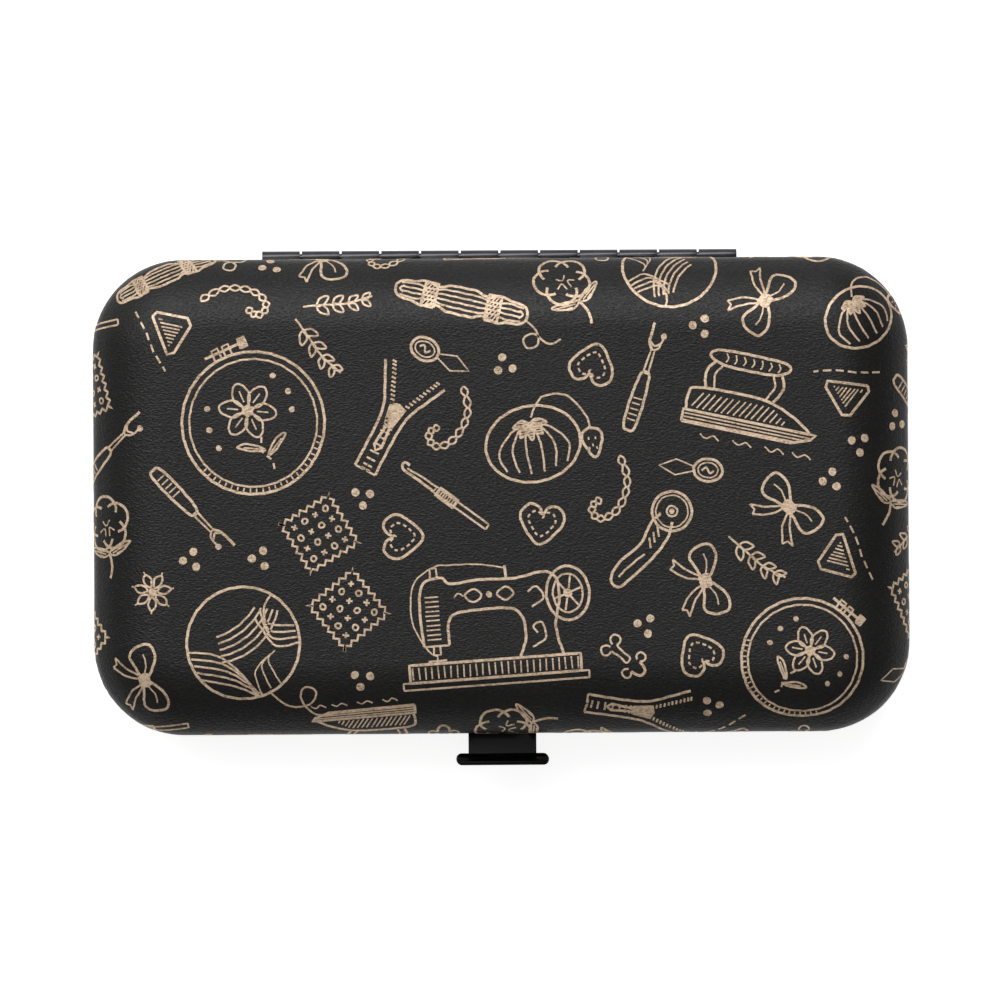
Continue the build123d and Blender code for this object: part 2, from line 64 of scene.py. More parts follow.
MM = 0.001
LOG = logging.getLogger("sewing_case")

Point = tuple[float, float]
Triple = tuple[float, float, float]
Colour = Triple
Socket = bpy.types.NodeSocket
Piece = bpy.types.Object
Material = bpy.types.Material
Inputs = dict[str | int, object]


def srgb(red: int, green: int, blue: int) -> Colour:
    """Linear colour of a display colour.

    Args:
        red: Display red, 0 to 255.
        green: Display green, 0 to 255.
        blue: Display blue, 0 to 255.

    Returns:
        The linear colour.
    """

    def linear(value: int) -> float:
        """Linear value of one channel."""
        share = value / 255
        return share / 12.92 if share <= 0.04045 else ((share + 0.055) / 1.055) ** 2.4

    return linear(red), linear(green), linear(blue)


# Node trees


class NodeWriter:
    """Writes a node tree: adds nodes and feeds their inputs."""

    def __init__(self, tree: bpy.types.NodeTree) -> None:
        """Starts on an existing tree."""
        self.tree = tree

    def feed(self, node: bpy.types.Node, inputs: Inputs) -> bpy.types.Node:
        """Sets or links a node's inputs.

        Args:
            node: The node to feed.
            inputs: For each socket, an output socket to link or a value to set.

        Returns:
            The same node.
        """
        for key, value in inputs.items():
            if isinstance(value, Socket):
                self.tree.links.new(value, node.inputs[key])
            elif value is not None:
                node.inputs[key].default_value = value
        return node

    def add(self, kind: str, inputs: Inputs | None = None, **settings: object) -> bpy.types.Node:
        """Adds a node and feeds it.

        Args:
            kind: The node's type.
            inputs: For each socket, an output socket to link or a value to set.
            **settings: Attributes of the node.

        Returns:
            The node.
        """
        node = self.tree.nodes.new(kind)
        for key, value in settings.items():
            setattr(node, key, value)
        return self.feed(node, inputs or {})


class Graph(NodeWriter):
    """Shader tree of one material, with short names for what the finishes need."""

    def __init__(self, name: str) -> None:
        """Starts a material with one Principled shader."""
        self.material = bpy.data.materials.new(name)
        self.material.use_nodes = True
        super().__init__(self.material.node_tree)
        self.shader = self.tree.nodes["Principled BSDF"]
        self.output = self.tree.nodes["Material Output"]
        self.place = self.add("ShaderNodeTexCoord").outputs["Object"]

    def scaled(self, scale: Triple, turn: float = 0.0) -> Socket:
        """Object coordinates in cycles per metre on each axis, turned about Z by radians."""
        inputs = {"Vector": self.place, "Scale": scale, "Rotation": (0.0, 0.0, turn)}
        return self.add("ShaderNodeMapping", inputs).outputs["Vector"]

    def noise(self, scale: float, detail: float, rough: float = 0.5, place: Socket | None = None) -> Socket:
        """Fractal noise over the object's coordinates or over others."""
        inputs = {"Vector": place or self.place, "Scale": scale, "Detail": detail, "Roughness": rough}
        return self.add("ShaderNodeTexNoise", inputs).outputs["Fac"]

    def cells(self, vector: Socket) -> Socket:
        """Smooth distance field of a cell pattern."""
        inputs = {"Vector": vector, "Scale": 1.0}
        return self.add("ShaderNodeTexVoronoi", inputs, feature="SMOOTH_F1").outputs["Distance"]

    def math(self, operation: str, first: object, second: object = 0.0) -> Socket:
        """One step of arithmetic on values or sockets."""
        return self.add("ShaderNodeMath", {0: first, 1: second}, operation=operation).outputs[0]

    def total(self, *parts: tuple[Socket, float]) -> Socket:
        """Weighted sum of sockets."""
        result, weight = parts[0]
        result = self.math("MULTIPLY", result, weight)
        for socket, weight in parts[1:]:
            result = self.math("ADD", result, self.math("MULTIPLY", socket, weight))
        return result

    def ramp(self, factor: Socket, low: float, high: float) -> Socket:
        """Maps the range from low to high to 0 to 1 and clamps it."""
        inputs = {"Value": factor, "From Min": low, "From Max": high}
        return self.add("ShaderNodeMapRange", inputs).outputs["Result"]

    def blend(self, factor: object, first: Colour, second: Colour) -> Socket:
        """Blend of two colours by a factor, the second colour's share."""
        inputs = {0: factor, 6: (*first, 1.0), 7: (*second, 1.0)}
        return self.add("ShaderNodeMix", inputs, data_type="RGBA").outputs[2]

    def bump(self, height: Socket, distance: float, strength: float, normal: Socket | None = None) -> Socket:
        """Bump from a height, where 1 of height stands for a distance in metres."""
        inputs = {"Height": height, "Distance": distance, "Strength": strength, "Normal": normal}
        return self.add("ShaderNodeBump", inputs).outputs["Normal"]

    def finish(self, **sockets: object) -> Material:
        """Feeds the shader's sockets, named with underscores, and gives the material."""
        self.feed(self.shader, {key.replace("_", " "): value for key, value in sockets.items()})
        return self.material


# Finishes


@dataclass(frozen=True)
class GrainedLeather:
    """Black leather with a fine wrinkled grain that runs along the case, and a soft sheen."""

    dark: Colour = srgb(11, 10, 10)
    light: Colour = srgb(35, 33, 32)
    wrinkles: Triple = (1850.0, 3300.0, 3300.0)
    pores: Triple = (2500.0, 4200.0, 4200.0)
    depth: float = 0.00013

    def grain(self, graph: Graph, share: float) -> tuple[Socket, Socket]:
        """The hide's relief, which the foil on it follows too.

        Args:
            graph: The material's graph.
            share: Share of the relief's depth.

        Returns:
            The relief's height, about 0.4 to 0.95, and the normal.
        """
        pores = graph.noise(1.0, 3.0, 0.6, graph.scaled(self.pores))
        wrinkles = graph.noise(1.0, 2.0, 0.5, graph.scaled(self.wrinkles, 0.05))
        cells = graph.cells(graph.scaled(self.wrinkles, -0.04))
        relief = graph.total((cells, 0.5), (pores, 0.5), (wrinkles, 0.5))
        fine = graph.bump(relief, self.depth * share, 1.0)
        creases = graph.noise(170.0, 4.0, 0.6)
        return relief, graph.bump(creases, 0.00008 * share, 0.4, fine)

    def build(self) -> Material:
        """Builds the material."""
        graph = Graph("black_grained_leather")
        relief, normal = self.grain(graph, 1.0)
        # Colour follows the relief: lighter on the grain's tops is painted highlight, darker in its hollows
        # is painted shade, with a little random mottle over it.
        grain_shade_and_mottle = graph.total((relief, 1.0), (graph.noise(60.0, 3.0), 0.2))
        return graph.finish(
            Base_Color=graph.blend(graph.ramp(grain_shade_and_mottle, 0.6, 0.95), self.dark, self.light),
            Roughness=graph.ramp(relief, 1.3, -0.45),
            Specular_IOR_Level=0.32,
            Normal=normal,
        )


@dataclass(frozen=True)
class RoseGoldFoil:
    """Matt rose-gold foil that was hot-stamped on the leather."""

    gold: Colour = srgb(242, 214, 184)
    shaded_blotched_gold: Colour = srgb(164, 138, 110)
    leather: GrainedLeather = GrainedLeather()

    def build(self) -> Material:
        """Builds the material."""
        graph = Graph("rose_gold_foil")
        relief, normal = self.leather.grain(graph, 0.6)
        # Darker gold in the grain's hollows is painted shade; the noise adds random darker blotches to the
        # foil.
        hollow_shade_and_blotches = graph.ramp(graph.math("SUBTRACT", graph.noise(420.0, 4.0, 0.7), relief), -0.32, 0.08)
        return graph.finish(
            Base_Color=graph.blend(hollow_shade_and_blotches, self.gold, self.shaded_blotched_gold),
            Metallic=0.35,
            Roughness=graph.ramp(relief, 1.6, -0.4),
            Normal=normal,
        )


@dataclass(frozen=True)
class BlackPlating:
    """Gloss black plating on pressed steel, with fine handling marks."""

    name: str = "black_plating"
    dark: Colour = srgb(24, 24, 25)
    light: Colour = srgb(38, 38, 40)
    gloss: float = 0.2
    coat: float = 0.35

    def build(self) -> Material:
        """Builds the material."""
        graph = Graph(self.name)
        marks = graph.noise(1.0, 4.0, 0.6, graph.scaled((260.0, 2600.0, 2600.0)))
        cloud = graph.noise(300.0, 3.0)
        rough = graph.total((cloud, 0.16), (marks, 0.1))
        return graph.finish(
            Base_Color=graph.blend(cloud, self.dark, self.light),
            Metallic=0.85,
            Roughness=graph.math("ADD", rough, self.gloss - 0.1),
            Coat_Weight=self.coat,
            Coat_Roughness=0.12,
            Normal=graph.bump(marks, 0.000004, 0.5),
        )


@dataclass(frozen=True)
class BrushedSteel:
    """Drawn or blued steel with lengthwise draw marks."""

    name: str
    dark: Colour
    light: Colour

    def build(self) -> Material:
        """Builds the material."""
        graph = Graph(self.name)
        marks = graph.noise(1.0, 5.0, 0.7, graph.scaled((200.0, 5200.0, 5200.0)))
        return graph.finish(
            Base_Color=graph.blend(marks, self.dark, self.light),
            Metallic=1.0,
            Roughness=graph.math("ADD", graph.math("MULTIPLY", marks, 0.2), 0.22),
            Normal=graph.bump(marks, 0.000003, 0.6),
        )


@dataclass(frozen=True)
class MouldedPlastic:
    """Fine-textured moulded plastic."""

    name: str = "moulded_shell"
    dark: Colour = srgb(36, 36, 38)
    light: Colour = srgb(50, 50, 52)

    def build(self) -> Material:
        """Builds the material."""
        graph = Graph(self.name)
        texture = graph.noise(2400.0, 2.0)
        return graph.finish(
            Base_Color=graph.blend(graph.noise(120.0, 3.0), self.dark, self.light),
            Roughness=graph.ramp(texture, -1.4, 2.2),
            Normal=graph.bump(texture, 0.00002, 0.6),
        )


@dataclass(frozen=True)
class WovenCloth:
    """Plain weave whose threads run along X and Y, with a little fuzz."""

    name: str
    dark: Colour
    light: Colour
    thread: float = 0.42
    depth: float = 0.00005
    sheen: float = 0.25

    def build(self) -> Material:
        """Builds the material."""
        graph = Graph(self.name)
        pitch = math.tau / (self.thread * MM)
        split = graph.add("ShaderNodeSeparateXYZ", {0: graph.place})
        drift = graph.math("MULTIPLY", graph.noise(260.0, 2.0), 1.6)
        warp = graph.math("SINE", graph.total((split.outputs["X"], pitch), (drift, 1.0)))
        weft_way = graph.math("ADD", split.outputs["Y"], split.outputs["Z"])
        weft = graph.math("SINE", graph.total((weft_way, pitch), (drift, 1.0)))
        weave = graph.ramp(graph.math("MULTIPLY", warp, weft), -1.0, 1.0)
        fuzz = graph.noise(3600.0, 2.0)
        height = graph.total((weave, 0.8), (fuzz, 0.4))
        tone = graph.ramp(graph.total((height, 1.0), (graph.noise(70.0, 3.0), 0.6)), 0.4, 1.4)
        return graph.finish(
            Base_Color=graph.blend(tone, self.dark, self.light),
            Roughness=graph.ramp(fuzz, -2.0, 1.1),
            Sheen_Weight=self.sheen,
            Sheen_Roughness=0.5,
            Normal=graph.bump(height, self.depth, 0.8),
        )


@dataclass(frozen=True)
class PressedFelt:
    """Pressed wool felt with loose fibres."""

    dark: Colour = srgb(164, 150, 132)
    light: Colour = srgb(206, 194, 176)

    def build(self) -> Material:
        """Builds the material."""
        graph = Graph("oatmeal_felt")
        fibres = graph.noise(1.0, 4.0, 0.7, graph.scaled((1500.0, 4200.0, 1500.0), 0.6))
        across = graph.noise(1.0, 4.0, 0.7, graph.scaled((4200.0, 1500.0, 1500.0), 0.2))
        mat = graph.total((fibres, 0.5), (across, 0.5))
        return graph.finish(
            Base_Color=graph.blend(graph.ramp(mat, 0.3, 0.7), self.dark, self.light),
            Roughness=graph.ramp(mat, -3.0, 0.9),
            Sheen_Weight=0.4,
            Sheen_Roughness=0.6,
            Normal=graph.bump(mat, 0.00022, 0.9),
        )


@dataclass(frozen=True)
class SewingThread:
    """Twisted sewing thread."""

    name: str
    dark: Colour
    light: Colour

    def build(self) -> Material:
        """Builds the material."""
        graph = Graph(self.name)
        ply = graph.noise(1.0, 2.0, 0.5, graph.scaled((5200.0, 2600.0, 5200.0), 0.7))
        return graph.finish(
            Base_Color=graph.blend(graph.ramp(ply, 0.35, 0.65), self.dark, self.light),
            Roughness=graph.ramp(ply, -1.6, 1.4),
            Sheen_Weight=0.2,
            Normal=graph.bump(ply, 0.00004, 0.8),
        )


class Finish(Enum):
    """Every finish of the case."""

    LEATHER = GrainedLeather()
    FOIL = RoseGoldFoil()
    PLATING = BlackPlating()
    HINGE_PLATING = BlackPlating("hinge_plating", srgb(56, 56, 58), srgb(78, 78, 81), 0.19)
    LATCH_PLATING = BlackPlating("latch_plating", srgb(12, 12, 13), srgb(19, 19, 20), 0.36, 0.2)
    PIN_STEEL = BrushedSteel("blackened_wire", srgb(60, 60, 62), srgb(96, 96, 98))
    SPRING_STEEL = BrushedSteel("blued_strip", srgb(84, 90, 104), srgb(128, 134, 148))
    SHELL = MouldedPlastic()
    LINING = WovenCloth("brushed_lining", srgb(30, 30, 32), srgb(54, 54, 57))
    BOARD = WovenCloth("book_cloth", srgb(34, 34, 36), srgb(60, 60, 62), 0.6, 0.00006, 0.1)
    ELASTIC = WovenCloth("woven_elastic", srgb(24, 24, 26), srgb(52, 52, 55), 0.5, 0.00006, 0.15)
    FELT = PressedFelt()
    GOLD_THREAD = SewingThread("gold_thread", srgb(176, 142, 106), srgb(214, 182, 146))
    BLACK_THREAD = SewingThread("black_thread", srgb(20, 20, 21), srgb(46, 46, 48))

    @cached_property
    def material(self) -> Material:
        """The finish's material, built once."""
        return self.value.build()


# The case's form


def between(start: Point, end: Point, share: float) -> Point:
    """Point between two others, at a share of the way."""
    return start[0] + (end[0] - start[0]) * share, start[1] + (end[1] - start[1]) * share


class Half(Enum):
    """The two halves of the case, each the other's mirror image in the parting plane."""

    LID = 1
    BASE = -1

    @property
    def body(self) -> str:
        """The body that the half rides on."""
        return self.name.lower()


@dataclass(frozen=True)
class CaseForm:
    """Outside of either half, in millimetres, with the leather's flat sheet wrapped over it.

    A place on the sheet is given from the middle of the half. Inside the flat middle the sheet and
    the plan agree. Beyond it, the sheet follows a wide crown arc, a tight shoulder arc and the wall.
    """

    length: float
    width: float
    half_height: float
    corner_radius: float = 16.0
    edge_run: float = 13.0
    edge_rise: float = 8.2
    shoulder: float = 4.0
    rim: float = 0.6
    rim_round: float = 0.35
    leather: float = 0.6
    shell_inset: float = 1.8
    lining_inset: float = 2.3
    print_end: float = 1.5
    corner_steps: int = 22
    side_step: float = 1.7

    @property
    def corner(self) -> Point:
        """Centre of the outline's corner in the positive quarter."""
        return self.length / 2 - self.corner_radius, self.width / 2 - self.corner_radius

    @property
    def side_wall(self) -> float:
        """Height of the straight wall above the parting plane."""
        return self.half_height - self.edge_rise

    @property
    def crown(self) -> float:
        """Radius of the crown arc that meets the shoulder arc smoothly."""
        run, rise, tight = self.edge_run, self.edge_rise, self.shoulder
        return (run**2 + rise**2 - 2 * run * tight) / (2 * (rise - tight))

    @property
    def tilt(self) -> float:
        """Slope in radians where the crown meets the shoulder."""
        return math.atan2(self.edge_run - self.shoulder, self.crown - self.edge_rise)

    @property
    def flat_reach(self) -> float:
        """Distance from a corner's centre at which the crown begins."""
        return self.corner_radius - self.edge_run

    @property
    def crown_length(self) -> float:
        """Length of the crown arc."""
        return self.crown * self.tilt

    @property
    def shoulder_length(self) -> float:
        """Length of the shoulder arc."""
        return self.shoulder * (math.pi / 2 - self.tilt)

    @property
    def sheet_reach(self) -> float:
        """Distance on the sheet from a corner's centre to just above the hinge's cut-out."""
        return self.flat_reach + self.crown_length + self.shoulder_length + self.side_wall - self.print_end

    def edge(self, along: float, lift: float = 0.0) -> tuple[float, float]:
        """Place on the edge's section.

        Args:
            along: Length along the outside from the crown's start.
            lift: Height above the outside, negative towards the inside.

        Returns:
            Distance from the corner's centre and height above the parting plane.
        """
        if along <= self.crown_length:
            angle = along / self.crown
            radius = self.crown + lift
            foot = self.half_height - self.crown
            return self.flat_reach + radius * math.sin(angle), foot + radius * math.cos(angle)
        beyond = along - self.crown_length
        if beyond <= self.shoulder_length:
            angle = self.tilt + beyond / self.shoulder
            radius = self.shoulder + lift
            centre = self.corner_radius - self.shoulder
            return centre + radius * math.sin(angle), self.side_wall + radius * math.cos(angle)
        return self.corner_radius + lift, self.side_wall - (beyond - self.shoulder_length)

    def reach(self, place: Point) -> float:
        """Distance on the sheet from the nearest corner's centre or the lines between them."""
        across = max(abs(place[0]) - self.corner[0], 0.0)
        up = max(abs(place[1]) - self.corner[1], 0.0)
        return math.hypot(across, up)

    def wrap(self, half: Half, place: Point, lift: float) -> Vector:
        """Place in space of a place on the sheet.

        Args:
            half: Which half.
            place: Place on the flat sheet.
            lift: Height above the leather.

        Returns:
            The place in millimetres.
        """
        reach = self.reach(place)
        parting = self.half_height
        if reach <= self.flat_reach:
            return Vector((place[0], place[1], parting + half.value * (self.half_height + lift)))
        out, high = self.edge(reach - self.flat_reach, lift)
        share = out / reach
        spots = []
        for value, centre in zip(place, self.corner):
            beyond = max(abs(value) - centre, 0.0)
            spots.append(math.copysign(min(abs(value), centre) + beyond * share, value))
        return Vector((spots[0], spots[1], parting + half.value * high))

    def stations(self) -> list[tuple[float, float, float, float]]:
        """Walks once round the outline.

        Returns:
            For each station, the nearest corner centre or side point, and the outward direction.
        """
        found = []
        across, up = self.corner
        corners = [(across, up), (-across, up), (-across, -up), (across, -up)]
        for index, corner in enumerate(corners):
            for turn in range(self.corner_steps + 1):
                angle = math.pi / 2 * (index + turn / self.corner_steps)
                found.append((*corner, math.cos(angle), math.sin(angle)))
            after = corners[index - 3]
            count = math.ceil(math.dist(corner, after) / self.side_step)
            out = found[-1][2:]
            found += [(*between(corner, after, k / count), *out) for k in range(1, count)]
        return found

    def outside(self, lift: float = 0.0, steps: tuple[int, int] = (18, 9)) -> list[Point]:
        """Section of the outside from the crown's start to the top of the straight wall.

        Args:
            lift: Height above the outside, negative towards the inside.
            steps: Steps on the crown and on the shoulder.

        Returns:
            Points as distance from the corner's centre and height above the parting plane.
        """
        crown = [self.edge(self.crown_length * k / steps[0], lift) for k in range(steps[0] + 1)]
        bends = [self.crown_length + self.shoulder_length * k / steps[1] for k in range(1, steps[1] + 1)]
        return crown + [self.edge(bend, lift) for bend in bends]


# Meshes


def hand_over(piece: Piece, body: str, slot: str, *nodes: str) -> Piece:
    """Lets a finished piece ride on its body and logs it.

    Args:
        piece: The piece.
        body: The body that it rides on.
        slot: The record's material slot, not used.
        *nodes: The CAD nodes that it stands for.

    Returns:
        The same piece.
    """
    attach(piece, body)
    if nodes:
        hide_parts(*nodes)
    LOG.info("%s: %d faces", piece.name, len(piece.data.polygons))
    return piece


def link_piece(name: str, data: bpy.types.ID | None) -> Piece:
    """Puts data into the scene as an object at the origin."""
    piece = bpy.data.objects.new(name, data)
    bpy.context.scene.collection.objects.link(piece)
    return piece


def tube_faces(rows: int, columns: int) -> list[list[int]]:
    """Faces between neighbouring closed rows of points, with a cap on the first and last row.

    Args:
        rows: Number of rows.
        columns: Points in a row.

    Returns:
        Vertex numbers of each face.
    """
    last = (rows - 1) * columns
    faces = [
        [low + k, low + after, low + columns + after, low + columns + k]
        for low in range(0, last, columns)
        for k, after in zip(range(columns), [*range(1, columns), 0])
    ]
    return faces + [list(range(columns)), list(range(last, last + columns))]


def shade(piece: Piece, sharp: float) -> Piece:
    """Shades a piece smoothly up to an angle in degrees."""
    piece.data.shade_smooth()
    piece.data.set_sharp_from_angle(angle=math.radians(sharp))
    return piece


def make_piece(
    name: str, points: Iterable[Sequence[float]], faces: Iterable[Sequence[int]], finish: Finish
) -> Piece:
    """Makes a mesh object from places in millimetres.

    Args:
        name: The piece's name.
        points: Vertex places in millimetres.
        faces: Vertex numbers of each face.
        finish: The piece's finish.

    Returns:
        The object, at the origin.
    """
    mesh = bpy.data.meshes.new(name)
    places = [[value * MM for value in point] for point in points]
    mesh.from_pydata(places, [], [list(face) for face in faces])
    mesh.validate()
    mesh.materials.append(finish.material)
    return link_piece(name, mesh)


def tidy_mesh(piece: Piece, sharp: float = 35.0, merge: float = 1e-6) -> Piece:
    """Merges doubles, points faces outwards and shades smoothly up to an angle.

    Args:
        piece: The mesh object.
        sharp: Angle in degrees from which an edge stays sharp.
        merge: Distance within which vertices merge, in metres.

    Returns:
        The same piece.
    """
    work = bmesh.new()
    work.from_mesh(piece.data)
    bmesh.ops.remove_doubles(work, verts=work.verts, dist=merge)
    bmesh.ops.recalc_face_normals(work, faces=work.faces)
    work.to_mesh(piece.data)
    work.free()
    return shade(piece, sharp)


def settle(piece: Piece) -> Piece:
    """Turns a piece with modifiers into a plain mesh.

    Args:
        piece: An object with modifiers.

    Returns:
        A plain mesh object of the same name.
    """
    bpy.context.view_layer.update()
    evaluated = piece.evaluated_get(bpy.context.evaluated_depsgraph_get())
    mesh = bpy.data.meshes.new_from_object(evaluated)
    name = piece.name
    old = piece.data
    bpy.data.objects.remove(piece)
    if old.users == 0:
        (bpy.data.curves if isinstance(old, bpy.types.Curve) else bpy.data.meshes).remove(old)
    mesh.name = name
    return link_piece(name, mesh)


def cut_prism(piece: Piece, outline: Sequence[Point], low: float, high: float) -> Piece:
    """Cuts a prism out of a piece.

    Args:
        piece: The piece to cut.
        outline: The prism's outline in plan.
        low: Its lower end.
        high: Its upper end.

    Returns:
        The cut piece.
    """
    points = [(x, y, z) for z in (low, high) for x, y in outline]
    cutter = tidy_mesh(make_piece("cutter", points, tube_faces(2, len(outline)), Finish.SHELL))
    modifier = piece.modifiers.new("cut", "BOOLEAN")
    modifier.operation = "DIFFERENCE"
    modifier.solver = "EXACT"
    modifier.object = cutter
    piece = settle(piece)
    mesh = cutter.data
    bpy.data.objects.remove(cutter)
    bpy.data.meshes.remove(mesh)
    return piece


def carried_round(name: str, form: CaseForm, half: Half, section: Sequence[Point], finish: Finish) -> Piece:
    """Carries an edge section round the outline and closes the flat middle above and below.

    Args:
        name: The piece's name.
        form: The case's form.
        half: Which half.
        section: Open section that starts and ends at the flat middle.
        finish: The piece's finish.

    Returns:
        The closed piece.
    """
    stations = form.stations()
    points = [
        (x + out_x * out, y + out_y * out, form.half_height + half.value * high)
        for out, high in section
        for x, y, out_x, out_y in stations
    ]
    return tidy_mesh(make_piece(name, points, tube_faces(len(section), len(stations)), finish))


def softened(node: str, width: float, finish: Finish) -> Piece:
    """Copies a CAD node and rounds its edges a little, as pressed and plated sheet has them.

    Args:
        node: The CAD node.
        width: Width of the rounding in millimetres.
        finish: The copy's finish.

    Returns:
        The copy, which stands for the node.
    """
    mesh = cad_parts[node].data.copy()
    mesh.name = node + "_dressed"
    mesh.materials.clear()
    mesh.materials.append(finish.material)
    piece = link_piece(mesh.name, mesh)
    work = bmesh.new()
    work.from_mesh(mesh)
    bmesh.ops.remove_doubles(work, verts=work.verts, dist=2e-6)
    bmesh.ops.dissolve_limit(work, angle_limit=math.radians(1.0), verts=work.verts, edges=work.edges)
    work.to_mesh(mesh)
    work.free()
    bevel = piece.modifiers.new("rounding", "BEVEL")
    bevel.width = width * MM
    bevel.segments = 2
    bevel.limit_method = "ANGLE"
    bevel.angle_limit = math.radians(40)
    bevel.harden_normals = False
    return shade(settle(piece), 50)


# Leather and linings


@dataclass
class LeatherShell:
    """One half's leather cover, turned round the rim and hemmed inside, with its lining."""

    form: CaseForm
    half: Half
    hinge_half: float = 42.8
    hinge_notch: float = 1.4
    latch_half: float = 6.45
    latch_notch: float = 2.35
    hem: float = 2.4
    soft: float = 0.16
    slack: float = 0.05
    wall_step: float = 0.72
    pucker: float = 0.045
    pucker_count: int = 9

    def leather_section(self) -> list[Point]:
        """Section of the leather from the flat middle outside, round the rim, to the middle inside."""
        form, soft, slack = self.form, self.soft, self.slack
        out, rim, top = form.corner_radius, form.rim, form.side_wall
        wall = [(out, top - self.wall_step * k) for k in range(1, 5)]
        turn = arc((out - form.rim_round, rim + form.rim_round), form.rim_round, 0, -90, steps=6)
        hem, shell, skin = out - self.hem, out - form.shell_inset, out - form.leather
        inner = [(hem + soft, rim), (hem + slack, rim + slack), (hem, rim + soft)]
        inner += [(hem, rim + (top - rim) * k / 3) for k in (1, 2)]
        inner += [(hem, top - soft), (hem + soft, top), (shell - soft, top), (shell, top - soft)]
        fold = rim + form.leather + slack
        inner += [(shell, fold), (skin, fold), (skin, top)]
        return form.outside() + wall + turn + inner + form.outside(-form.leather)[::-1]

    def lining_section(self) -> list[Point]:
        """Section of the lining, a sheet on the inside of the shell."""
        form = self.form
        gap = 0.02
        outer = form.outside(-form.shell_inset - gap, (12, 6))
        inner = form.outside(-form.lining_inset, (12, 6))
        for side in (outer, inner):
            side[-1] = (side[-1][0], form.side_wall + gap)
        return outer + inner[::-1]

    def crease(self, piece: Piece) -> None:
        """Puckers the leather slightly where it is drawn round the corners.

        Args:
            piece: The leather cover.
        """
        form = self.form
        across, up = form.corner
        phase = 0.6 if self.half is Half.LID else 2.1
        top = form.side_wall + 2
        for vertex in piece.data.vertices:
            x, y = vertex.co.x / MM, vertex.co.y / MM
            out = Vector((max(abs(x) - across, 0.0), max(abs(y) - up, 0.0)))
            high = abs(vertex.co.z / MM - form.half_height)
            if min(out) <= 0 or high > top or out.length < form.corner_radius - form.leather * 0.8:
                continue
            angle = math.atan2(out.y, out.x)
            fade = math.sin(2 * angle) ** 0.5 * max(0.0, 1 - (high - form.rim) / top)
            own = phase + math.copysign(1.3, x) + math.copysign(0.7, y)
            wave = math.sin(angle * self.pucker_count * 4 + own)
            depth = self.pucker * fade * (wave - 1) / 2
            direction = Vector((math.copysign(out.x, x), math.copysign(out.y, y))).normalized()
            vertex.co.x += direction.x * depth * MM
            vertex.co.y += direction.y * depth * MM

    def build(self) -> None:
        """Builds the leather cover and the lining."""
        form, body = self.form, self.half.body
        cover = carried_round(f"{body}_leather", form, self.half, self.leather_section(), Finish.LEATHER)
        self.crease(cover)
        back = form.width / 2
        parting = form.half_height
        inside = form.side_wall + 0.2
        clear = 5
        cuts = [
            (self.hinge_half, back - self.hem, back + clear, -self.hinge_notch, self.hinge_notch),
            (self.hinge_half, back - self.hem - 0.5, back - form.shell_inset + 0.01, -inside, inside),
        ]
        if self.half is Half.BASE:
            cuts.append((self.latch_half, -back - clear, -back + self.hem + 1, -self.latch_notch, 1.0))
        for half, near, far, low, high in cuts:
            outline = [(-half, near), (half, near), (half, far), (-half, far)]
            cover = cut_prism(cover, outline, parting + low, parting + high)
        hand_over(tidy_mesh(cover), body, "black_leather", f"{body}_cover")
        lining = carried_round(f"{body}_lining_cloth", form, self.half, self.lining_section(), Finish.LINING)
        hand_over(lining, body, "black_lining", f"{body}_lining")


# Foil print

Stroke = list[Point]


def arc(
    centre: Point, radius: float, start: float, end: float, squash: float = 1.0, steps: int = 0
) -> Stroke:
    """Points on an arc or an ellipse's arc.

    Args:
        centre: The centre.
        radius: Half the width.
        start: Start angle in degrees.
        end: End angle in degrees.
        squash: Height over width.
        steps: Steps along the arc, or 0 to have them worked out.

    Returns:
        The points.
    """
    span = abs(end - start)
    count = steps or max(6, int(span / 9), int(radius * math.radians(span) / 0.8))
    found = []
    for k in range(count + 1):
        angle = math.radians(start + (end - start) * k / count)
        found.append((centre[0] + radius * math.cos(angle), centre[1] + radius * squash * math.sin(angle)))
    return found


def smooth(points: Sequence[Point], closed: bool = False, steps: int = 6) -> Stroke:
    """Smooth line through points.

    Args:
        points: Points that the line passes through.
        closed: Whether the line returns to its start.
        steps: Steps between two points.

    Returns:
        The line's points.
    """
    if closed:
        path = [points[-1], *points, *points[:2]]
    else:
        path = [points[0], *points, points[-1]]
    found = []
    for four in zip(path, path[1:], path[2:], path[3:]):
        for t in (step / steps for step in range(steps)):
            weights = (
                -0.5 * t + t**2 - 0.5 * t**3,
                1 - 2.5 * t**2 + 1.5 * t**3,
                0.5 * t + 2 * t**2 - 1.5 * t**3,
                -0.5 * t**2 + 0.5 * t**3,
            )
            found.append(tuple(sum(w * p[axis] for w, p in zip(weights, four)) for axis in (0, 1)))
    found.append(points[0] if closed else points[-1])
    return found


def moved(stroke: Stroke, shift: Point = (0, 0), scale: float = 1.0, turn: float = 0.0) -> Stroke:
    """Scales, turns and shifts a stroke.

    Args:
        stroke: The stroke.
        shift: Shift after scaling and turning.
        scale: Scale about the origin.
        turn: Turn in degrees.

    Returns:
        The new stroke.
    """
    cosine, sine = math.cos(math.radians(turn)), math.sin(math.radians(turn))
    turned = [(x * cosine - y * sine, x * sine + y * cosine) for x, y in stroke]
    return [(shift[0] + scale * x, shift[1] + scale * y) for x, y in turned]


